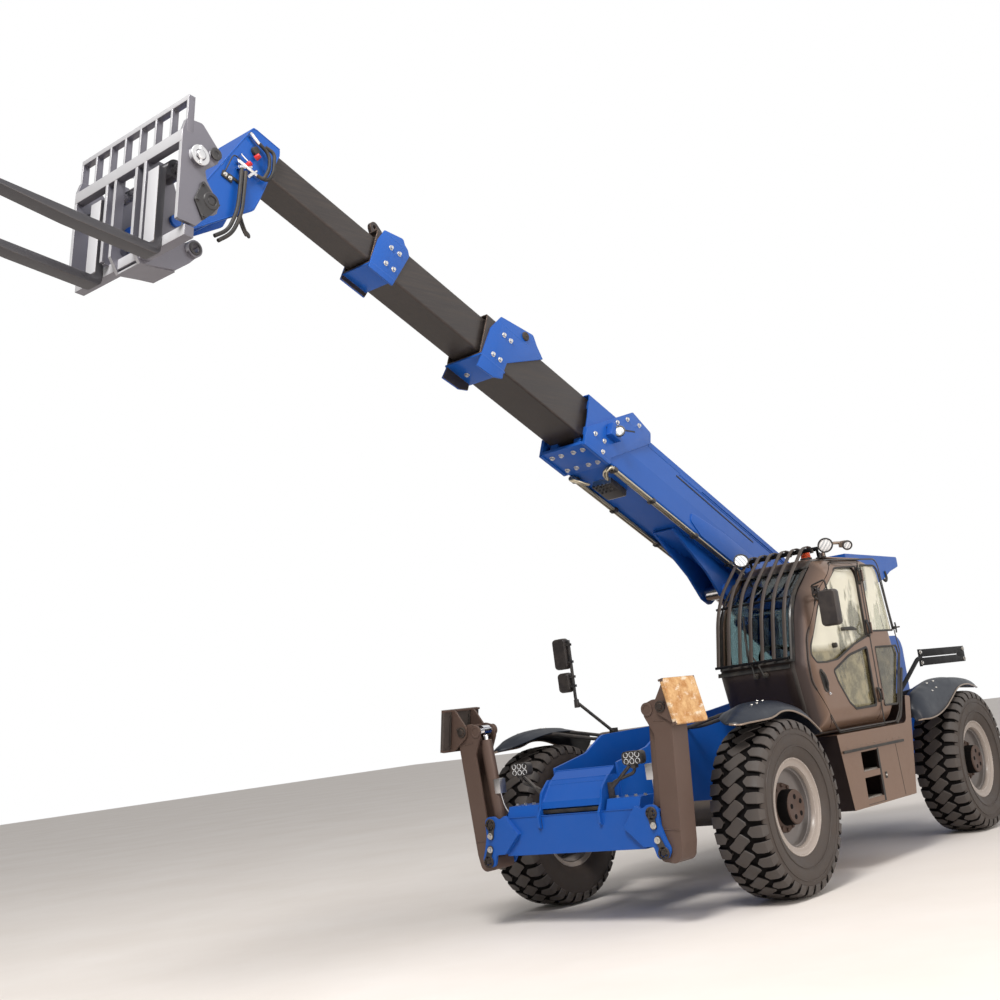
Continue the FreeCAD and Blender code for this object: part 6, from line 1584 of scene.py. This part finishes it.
def step_treads():
    """Toothed treads on the two steps."""
    work = Work()
    for z in (544.0, 759.0):
        work.box(-1572.0, -1283.0, CAB_OUT_Y - 200.0, CAB_OUT_Y - 12.0, z, z + 5.0, 1.0)
        for k in range(18):
            x = -1560.0 + k * 15.6
            work.prism([(x, z + 4.0), (x + 11.0, z + 4.0), (x + 8.0, z + 14.0), (x + 3.0, z + 14.0)],
                       CAB_OUT_Y - 190.0, CAB_OUT_Y - 14.0, "xz", 0.0)
    work.make("step_treads", "chassis", "bare")


def cabinet_seams():
    """Black strip beside the steps, seams and the latch plate."""
    work = Work()
    for x, half, lean in ((-1590.0, 15.0, 0.0), (-1990.0, 2.5, 37.0)):
        work.prism([(x - half, 500.0), (x + half, 500.0), (x + half + lean, 925.0), (x - half + lean, 925.0)],
                   CAB_OUT_Y - 2.0, CAB_OUT_Y + 1.2, "xz", 0.0)
    work.box(-1584.0, -1270.0, CAB_OUT_Y - 2.0, CAB_OUT_Y + 1.2, 499.0, 503.0, 0.0)
    work.box(-1690.0, -1658.0, CAB_OUT_Y - 1.0, CAB_OUT_Y + 5.0, 670.0, 722.0, 2.0)
    work.make("cabinet_seams", "chassis", "seal")
def cabinet_rivets():
    """Row of small rivets, and the latch's bolt."""
    work = Work()
    for k in range(9):
        x = -1050.0 - 125.0 * k
        work.rod((x, CAB_OUT_Y, 972.0), (x, CAB_OUT_Y + 4.0, 972.0), 5.0, 4.0, 16, 1.0)
    work.make("cabinet_rivets", "chassis", "lip")
    work = Work()
    work.rod((-1674.0, CAB_OUT_Y + 4.0, 696.0), (-1674.0, CAB_OUT_Y + 10.0, 696.0), 9.0, 8.0, 16, 1.0)
    work.make("cabinet_bolts", "chassis", "bolt")


def bracket():
    """Slotted black plate behind the cab, on a bent arm."""
    work = Work()
    for x0, z0, z1 in ((-3980.0, 1546.0, 1617.0), (-3980.0, 1625.0, 1694.0)):
        work.box(x0, -2885.0, 1098.0, 1107.0, z0, z1, 2.0)
    work.box(-3980.0, -3800.0, 1097.5, 1107.5, 1600.0, 1640.0, 2.0)
    work.pipe([(-2352.0, 1100.0, 1312.0), (-2356.0, 1100.0, 1352.0), (-2440.0, 1100.0, 1392.0),
               (-2850.0, 1100.0, 1610.0),
               (-2925.0, 1100.0, 1616.0)], 19.0, bend=40)
    work.box(-2950.0, -2895.0, 1092.0, 1099.0, 1540.0, 1696.0, 2.0)
    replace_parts(work.make("bracket_plate", "chassis", "black"), "rear_bracket")
    work = Work()
    for x, z in ((-2918.0, 1668.0), (-2918.0, 1572.0), (-3950.0, 1668.0), (-3950.0, 1572.0)):
        work.bolt((x, 1107.0, z), (0, 1, 0), 24.0, 12.0)
    work.make("bracket_bolts", "chassis", "bolt")


def housing_hook():
    """Hook on the housing behind the cab's roof."""
    work = Work()
    work.pipe([(-2930.0, 900.0, 2450.0), (-2950.0, 905.0, 2390.0), (-2925.0, 905.0, 2352.0), (-2890.0, 900.0, 2372.0)],
              12.0, bend=30)
    work.make("housing_hook", "chassis", "seal")


# Fork carriage and forks
CARRIAGE_HALF = 525.0


def carriage_front():
    """Bevelled plates over the carriage's bars."""
    work = Work(CARRIAGE)
    work.box(160.0, 211.0, -524.0, 524.0, 296.0, 371.0, 5.0)
    for y in (-200.0, 176.0):
        work.box(186.0, 211.0, y - 1.0, y + 25.0, -205.0, 300.0, 4.0)
    work.box(139.0, 184.0, -526.0, 526.0, 569.0, 601.0, 5.0)
    for i in range(8):
        y = -525.0 + i * (1050.0 - 16.0) / 7
        work.box(139.0, 184.0, y - 1.0, y + 17.0, 368.0, 575.0, 4.0)
    work.box(94.0, 158.0, -524.0, 524.0, -264.5, -198.0, 6.0)
    work.make("carriage_front", "carriage", "carriage")


def carriage_discs():
    """Discs at the ends of the fork shaft, and the shaft."""
    work = Work(CARRIAGE)
    for side in SIDES:
        y = side * (CARRIAGE_HALF + 23.0)
        work.lathe([(0.0, 61), (3.0, 61), (5.0, 58), (5.0, 34), (0.0, 34)], (100.0, y, 240.0), (0, side, 0), 40)
        a, b = sorted((y + side * 5.0, y + side * 12.0))
        work.box(92.0, 108.0, a, b, 182.0, 298.0, 2.0)
        work.rod((100.0, side * 555.0, 240.0), (100.0, side * 563.0, 240.0), 30.0, 26.0, 32, 3.0)
    work.make("carriage_discs", "carriage", "galvanised")
    work = Work(CARRIAGE)
    work.rod((100.0, -500.0, 240.0), (100.0, 500.0, 240.0), 33.0, None, 40)
    work.make("carriage_shaft", "carriage", "shaft")


def carriage_rings():
    """Bosses, nuts, side plates and bolts of the carriage."""
    work = Work(CARRIAGE)
    for side in SIDES:
        y = side * (CARRIAGE_HALF + 6.0)
        work.lathe([(0.0, 52), (8.0, 52), (11.0, 48), (11.0, 32), (0.0, 32)], (0.0, y, 0.0), (0, side, 0), 40)
        work.rod((0, y, 0), (0, y + side * 9.0, 0), 26.0, 22.0, 24, 2.0)
        work.lathe([(0.0, 38), (8.0, 38), (10.0, 34), (10.0, 16), (6.0, 15), (6.0, 1), (0.0, 1)],
                   (-11.0, y + side * 4.0, 302.0),
                   (0, side, 0), 28)
        outline = curved([(-62.0, 0.0), (58.0, 107.0, 10.0), (110.0, -30.0, 10.0), (47.0, -137.0, 10.0),
                          (-6.0, -80.0, 10.0)], 4)
        y0, y1 = span(side, 524.0, 536.5)
        work.prism([(p.x, p.y) for p in inset(outline, -1.2)], y0, y1, "xz", 2.5)
        for a, v in ((60.0, 80.0), (92.0, -26.0), (44.0, -112.0)):
            work.bolt((a, side * 536.5, v), (0, side, 0), 18.0, 9.0)
    for side in SIDES:
        work.lathe([(0.0, 42), (6.0, 42), (8.0, 39), (8.0, 29), (0.0, 29)], (-197.0, side * 137.5, -70.0), (0, side, 0),
                   36)
    work.make("carriage_rings", "carriage", "dark")
    work = Work(CARRIAGE)
    for y in (-150.0, -50.0, 50.0, 150.0):
        work.bolt((141.0, y, 333.0), (-1, 0, 0), 22.0, 12.0)
    work.make("carriage_bolts", "carriage", "bolt")


def fork_skins():
    """Bevelled fork blades with rounded heels."""
    for tag, y in (("l", 280.0), ("r", -280.0)):
        work = Work(CARRIAGE)
        outline = curved([(215.2, 216.0), (215.2, -274.0, 30.0), (1414.5, -274.0, 5.0), (1414.5, -288.0),
                          (714.0, -326.2, 200.0), (162.8, -326.2, 40.0), (162.8, 216.0)], 8)
        work.prism([(p.x, p.y) for p in outline], y - 51.0, y + 51.0, "xz", 5.0)
        work.make("fork_skin_" + tag, "carriage", "fork")


# Boom head: weld seams, pin nuts and the hydraulic fittings on its near side
HEAD_SEAM = 158.0


def head_welds():
    """Beads along the head's edges, and the ring round its pin."""
    work = Work(BOOM)
    for side in SIDES:
        y = side * HEAD_SEAM
        work.pipe([(8477.0, y, 60.0), (8697.0, y, 60.0), (8878.0, y, -520.0)], 4.5, bend=30)
        work.pipe([(8470.0, y, 0.0), (8508.0, y, -368.0), (8530.0, y, -478.0), (8838.0, y, -850.0)], 4.5, bend=30)
        work.lathe([(0.0, 95), (10.0, 95), (14.0, 90), (14.0, 40), (0.0, 40)], (NOSE.x, side * 160.0, NOSE.z),
                   (0, side, 0), 40)
    work.make("head_welds", "boom_fourth", "blue")


def head_pin_nuts():
    """Six bolts round each end of the carriage's pin, and the pin's ends."""
    work = Work(BOOM)
    for side in SIDES:
        for s, h in around(6, 68.0, 20.0):
            work.bolt((NOSE.x + s, side * 174.0, NOSE.z + h), (0, side, 0), 15.0, 8.0)
        work.rod((NOSE.x, side * 170.0, NOSE.z), (NOSE.x, side * 219.0, NOSE.z), 33.0, 30.0, 32, 3.0)
    work.make("head_pin_nuts", "boom_fourth", "iron")

HEAD_Y = 160.0


def head_couplings():
    """Chrome couplings and red caps."""
    work = Work(BOOM)
    for a, b, r in (((8712.0, -22.0), (8640.0, -44.0), 14.0), ((8740.0, -262.0), (8560.0, -262.0), 13.0),
                    ((8722.0, -300.0), (8640.0, -236.0), 12.0), ((8640.0, -312.0), (8600.0, -236.0), 12.0),
                    ((8560.0, -262.0), (8524.0, -236.0), 14.0), ((8734.0, -206.0), (8648.0, -222.0), 5.0)):
        work.rod((a[0], HEAD_Y + 24.0, a[1]), (b[0], HEAD_Y + 24.0, b[1]), r, r * 0.85, 12, 2.0)
        work.rod((a[0], HEAD_Y, a[1]), (a[0], HEAD_Y + 30.0, a[1]), r * 0.9, sides=6)
    work.make("head_couplings", "boom_fourth", "chrome")
    work = Work(BOOM)
    for s, h in ((8628.0, -150.0), (8668.0, -244.0)):
        work.rod((s, HEAD_Y + 16.0, h), (s - 6.0, HEAD_Y + 44.0, h + 20.0), 18.0, 15.0, 16, 2.0)
    work.make("head_caps", "boom_fourth", "cap")


def head_hoses():
    """Bracket, plug, wire loop and black hoses."""
    work = Work(BOOM)
    work.box(8724.0, 8806.0, HEAD_Y, HEAD_Y + 9.0, -424.0, -380.0, 3.0)
    work.box(8640.0, 8760.0, HEAD_Y, HEAD_Y + 7.0, -392.0, -372.0, 2.0)
    work.rod((8640.0, HEAD_Y, -96.0), (8640.0, HEAD_Y + 22.0, -96.0), 30.0, 27.0, 24, 3.0)
    work.pipe([(8790.0, HEAD_Y + 8.0, -380.0), (8784.0, HEAD_Y + 30.0, -240.0), (8700.0, HEAD_Y + 30.0, -262.0)], 4.0,
              bend=40)
    for shift in (0.0, 34.0):
        work.pipe([(8640.0 - shift * 1.4, HEAD_Y + 26.0, -42.0 + shift * 0.3),
                   (8560.0 - shift, HEAD_Y + 40.0, -70.0 + shift),
                   (8528.0 - shift, HEAD_Y + 44.0, -170.0), (8540.0 - shift, HEAD_Y + 30.0, -262.0 + shift * 0.4),
                   (8592.0, HEAD_Y + 24.0, -262.0)], 11.5, 14, bend=70)
    for shift in (0.0, 32.0):
        work.pipe([(8700.0 - shift, HEAD_Y + 24.0, -296.0), (8684.0 - shift, HEAD_Y + 40.0, -420.0),
                   (8650.0 - shift, HEAD_Y + 44.0, -600.0), (8664.0 - shift, HEAD_Y + 34.0, -760.0),
                   (8730.0 - shift, HEAD_Y + 20.0, -846.0 - shift * 0.4)],
                  12.5, 14, bend=90)
    for shift in (0.0, 22.0):
        work.pipe([(8600.0, 150.0 - shift, -560.0), (8560.0, 168.0, -640.0 - shift), (8500.0 + shift, 168.0, -690.0),
                   (8490.0 + shift, 140.0, -640.0), (8520.0, 100.0, -600.0)], 8.0, 12, bend=40)
    work.make("head_hoses", "boom_fourth", "seal")


def head_bracket_bolts():
    """Two bolts of the bracket."""
    work = Work(BOOM)
    for s in (8746.0, 8784.0):
        work.bolt((s, HEAD_Y + 8.0, -402.0), (0, 1, 0), 18.0, 9.0)
    work.make("head_bracket_bolts", "boom_fourth", "bolt")


def beam_boxes():
    """Small grey boxes between the front lamps and the legs."""
    work = Work()
    for side in SIDES:
        work.box(1010.0, 1080.0, side * 690.0 - 30.0, side * 690.0 + 30.0, 985.0, 1095.0, 6.0)
        work.pipe([(1045.0, side * 690.0, 990.0), (1030.0, side * 680.0, 880.0), (1010.0, side * 640.0, 806.0)], 6.0,
                  bend=40)
    work.make("beam_boxes", "chassis", "galvanised")


def outer_bead_shade():
    """Curved bead along the outer section's side, drawn near black as a line of painted shade."""
    work = Work(BOOM)
    for side in SIDES:
        y = side * (OUTER - 5.0)
        work.pipe([(3445.0, y, -133.0), (3300.0, y, -84.0), (3000.0, y, -68.0), (2795.0, y, -94.0)], 6.0, 8, bend=90)
    work.make("outer_bead_shade", "boom_outer", "painted_slot_shade")


SEAT_MIDDLE = 735.0
CUSHION_FORM = ((-1.0, 26.0), (-0.96, 8.0), (-0.85, 1.0), (0.0, -6.0), (0.85, 1.0), (0.96, 8.0), (1.0, 26.0))
SEAT_SIDE = [(-1930.0, 1610.0, 40.0), (-1440.0, 1600.0, 60.0), (-1430.0, 1500.0, 30.0), (-1930.0, 1500.0, 30.0)]
BACK_SIDE = [(-2010.0, 1580.0, 30.0), (-1880.0, 1600.0, 30.0), (-1960.0, 2190.0, 60.0), (-2090.0, 2170.0, 50.0)]


def seat():
    """Driver's cushion and back, seen through the panes."""
    work = Work()
    for side_view, half in ((SEAT_SIDE, 235.0), (BACK_SIDE, 215.0)):
        pillow(work, curved(side_view, 6), CUSHION_FORM,
               lambda share, p: (p.x, SEAT_MIDDLE + half * share, p.y))
    work.make("seat_cushions", "chassis", "plastic")


# Floor, light and camera
def floor_look():
    look = Look("studio_floor", 0.8)
    cloud = look.ramp(look.noise(0.6, 6.0, 0.6), 0.3, 0.75)
    look.set("Base Color", look.mix(cloud, (0.80, 0.74, 0.69), (0.86, 0.81, 0.77)))
    return look.mat


def floor():
    """Plain pale floor, which isn't part of the object."""
    work = Work()
    work.box(-FLOOR_REACH, FLOOR_REACH, -FLOOR_REACH, FLOOR_REACH, -30, 0, 0)
    mesh = bpy.data.meshes.new("floor")
    work.bm.transform(SHOP)
    work.bm.to_mesh(mesh)
    work.bm.free()
    ground = bpy.data.objects.new("floor", mesh)
    bpy.context.scene.collection.objects.link(ground)
    mesh.materials.append(floor_look())


FLOOR_REACH = 60000
SKY_BRIGHT = Vector((-0.55, 0.75, 0.37)).normalized()
SKY_LIGHT = (0.30, 0.72)
SKY_MIRROR = (0.07, 1.05)


def world():
    """White to the camera; as light and in reflections brighter on the cab's side than in front."""
    made = bpy.data.worlds.new("studio")
    bpy.context.scene.world = made
    made.use_nodes = True
    tree = made.node_tree
    links, nodes = tree.links, tree.nodes
    back = nodes["Background"]
    path = nodes.new("ShaderNodeLightPath")
    seen = nodes.new("ShaderNodeMath")
    seen.operation = "MAXIMUM"
    links.new(path.outputs["Is Camera Ray"], seen.inputs[0])
    links.new(path.outputs["Is Transmission Ray"], seen.inputs[1])
    facing = nodes.new("ShaderNodeVectorMath")
    facing.operation = "DOT_PRODUCT"
    links.new(nodes.new("ShaderNodeTexCoord").outputs["Generated"], facing.inputs[0])
    facing.inputs[1].default_value = SKY_BRIGHT
    levels = []
    for dim, bright in (SKY_LIGHT, SKY_MIRROR):
        level = nodes.new("ShaderNodeMapRange")
        level.inputs["From Min"].default_value = -0.35
        level.inputs["From Max"].default_value = 0.75
        level.inputs["To Min"].default_value = dim
        level.inputs["To Max"].default_value = bright
        links.new(facing.outputs["Value"], level.inputs["Value"])
        levels.append(level.outputs[0])
    shiny = nodes.new("ShaderNodeMix")
    links.new(path.outputs["Is Glossy Ray"], shiny.inputs[0])
    links.new(levels[0], shiny.inputs[2])
    links.new(levels[1], shiny.inputs[3])
    total = nodes.new("ShaderNodeMix")
    links.new(seen.outputs[0], total.inputs[0])
    links.new(shiny.outputs[0], total.inputs[2])
    total.inputs[3].default_value = 1.0
    links.new(total.outputs[0], back.inputs["Strength"])
    back.inputs["Color"].default_value = (1.0, 1.0, 1.0, 1.0)


def lamp(name, at, aim, size, power, tint):
    light = bpy.data.lights.new(name, "AREA")
    light.shape = "DISK"
    light.size = size
    light.energy = power
    light.color = tint
    made = bpy.data.objects.new(name, light)
    made.location = at
    made.rotation_mode = "QUATERNION"
    made.rotation_quaternion = (Vector(aim) - Vector(at)).to_track_quat("-Z", "Y")
    bpy.context.scene.collection.objects.link(made)


KEY_LIGHT = ((9.0, 4.0, 13.0), 5.0, 1900.0, (1.0, 0.98, 0.95))
SIDE_LIGHT = ((1.0, 14.0, 4.0), 8.0, 650.0, (1.0, 0.91, 0.83))

CAMERA_AT = Vector((8888.1, 5964.4, 1431.7))
CAMERA_YAW, CAMERA_PITCH, CAMERA_ROLL = 3.8185, 0.1715, -0.1276
CAMERA_LENS = 47.973


def camera():
    cos, sin = math.cos, math.sin
    ahead = Vector((cos(CAMERA_PITCH) * cos(CAMERA_YAW), cos(CAMERA_PITCH) * sin(CAMERA_YAW), sin(CAMERA_PITCH)))
    right = ahead.cross(Vector((0, 0, 1))).normalized()
    up = right.cross(ahead)
    c, s = cos(CAMERA_ROLL), sin(CAMERA_ROLL)
    right, up = right * c + up * s, up * c - right * s
    data = bpy.data.cameras.new("photo_camera")
    data.sensor_width = 36.0
    data.lens = CAMERA_LENS
    data.clip_start, data.clip_end = 0.05, 300.0
    made = bpy.data.objects.new("photo_camera", data)
    turn = Matrix((right, up, -ahead)).transposed().to_4x4()
    made.matrix_world = Matrix.Translation(SHOP @ CAMERA_AT) @ turn
    bpy.context.scene.collection.objects.link(made)
    bpy.context.scene.camera = made


for tag, front, left in (("fl", True, True), ("fr", True, False), ("rl", False, True), ("rr", False, False)):
    wheel(tag, front, left)
for node, key in NODE_LOOKS.items():
    if node in frame["nodes"]:
        dress(node, key)
for build in (cab_seals, cab_rear_seal, windscreen_frame, wipers, door_handle, door_key, door_catch, door_hinges,
              quarter_latch, cab_posts, beam_pin_nuts, beam_lock_plates, beam_bolts, beam_slot_shade, hood_welds):
    build()
for tag, left in (("l", True), ("r", False)):
    front_lamp(tag, left)
for tag, left in (("l", True), ("r", False)):
    stabiliser(tag, left)
for build in (collar_plates, outer_slot_shade, collar_bolts, collar_two_sheaves, outer_rails, outer_pipes, valve_block,
              chain_links, collar_lamp, lift_gland, guard_bars, guard_tubes, roof_lamps, roof_horn, beacon, roof_lid,
              door_mirror, far_mirror, mudguards, cabinet_trim, step_treads, cabinet_seams, cabinet_rivets, bracket,
              housing_hook, carriage_front, carriage_discs, carriage_rings, fork_skins, head_welds, head_pin_nuts,
              head_couplings, head_hoses, head_bracket_bolts, beam_boxes, outer_bead_shade, seat, floor, world):
    build()
for name, (at, size, power, tint) in (("key", KEY_LIGHT), ("side", SIDE_LIGHT)):
    lamp(name, at, (0.0, 0.0, 1.5), size, power, tint)
camera()
bpy.context.scene.view_settings.view_transform = "Standard"
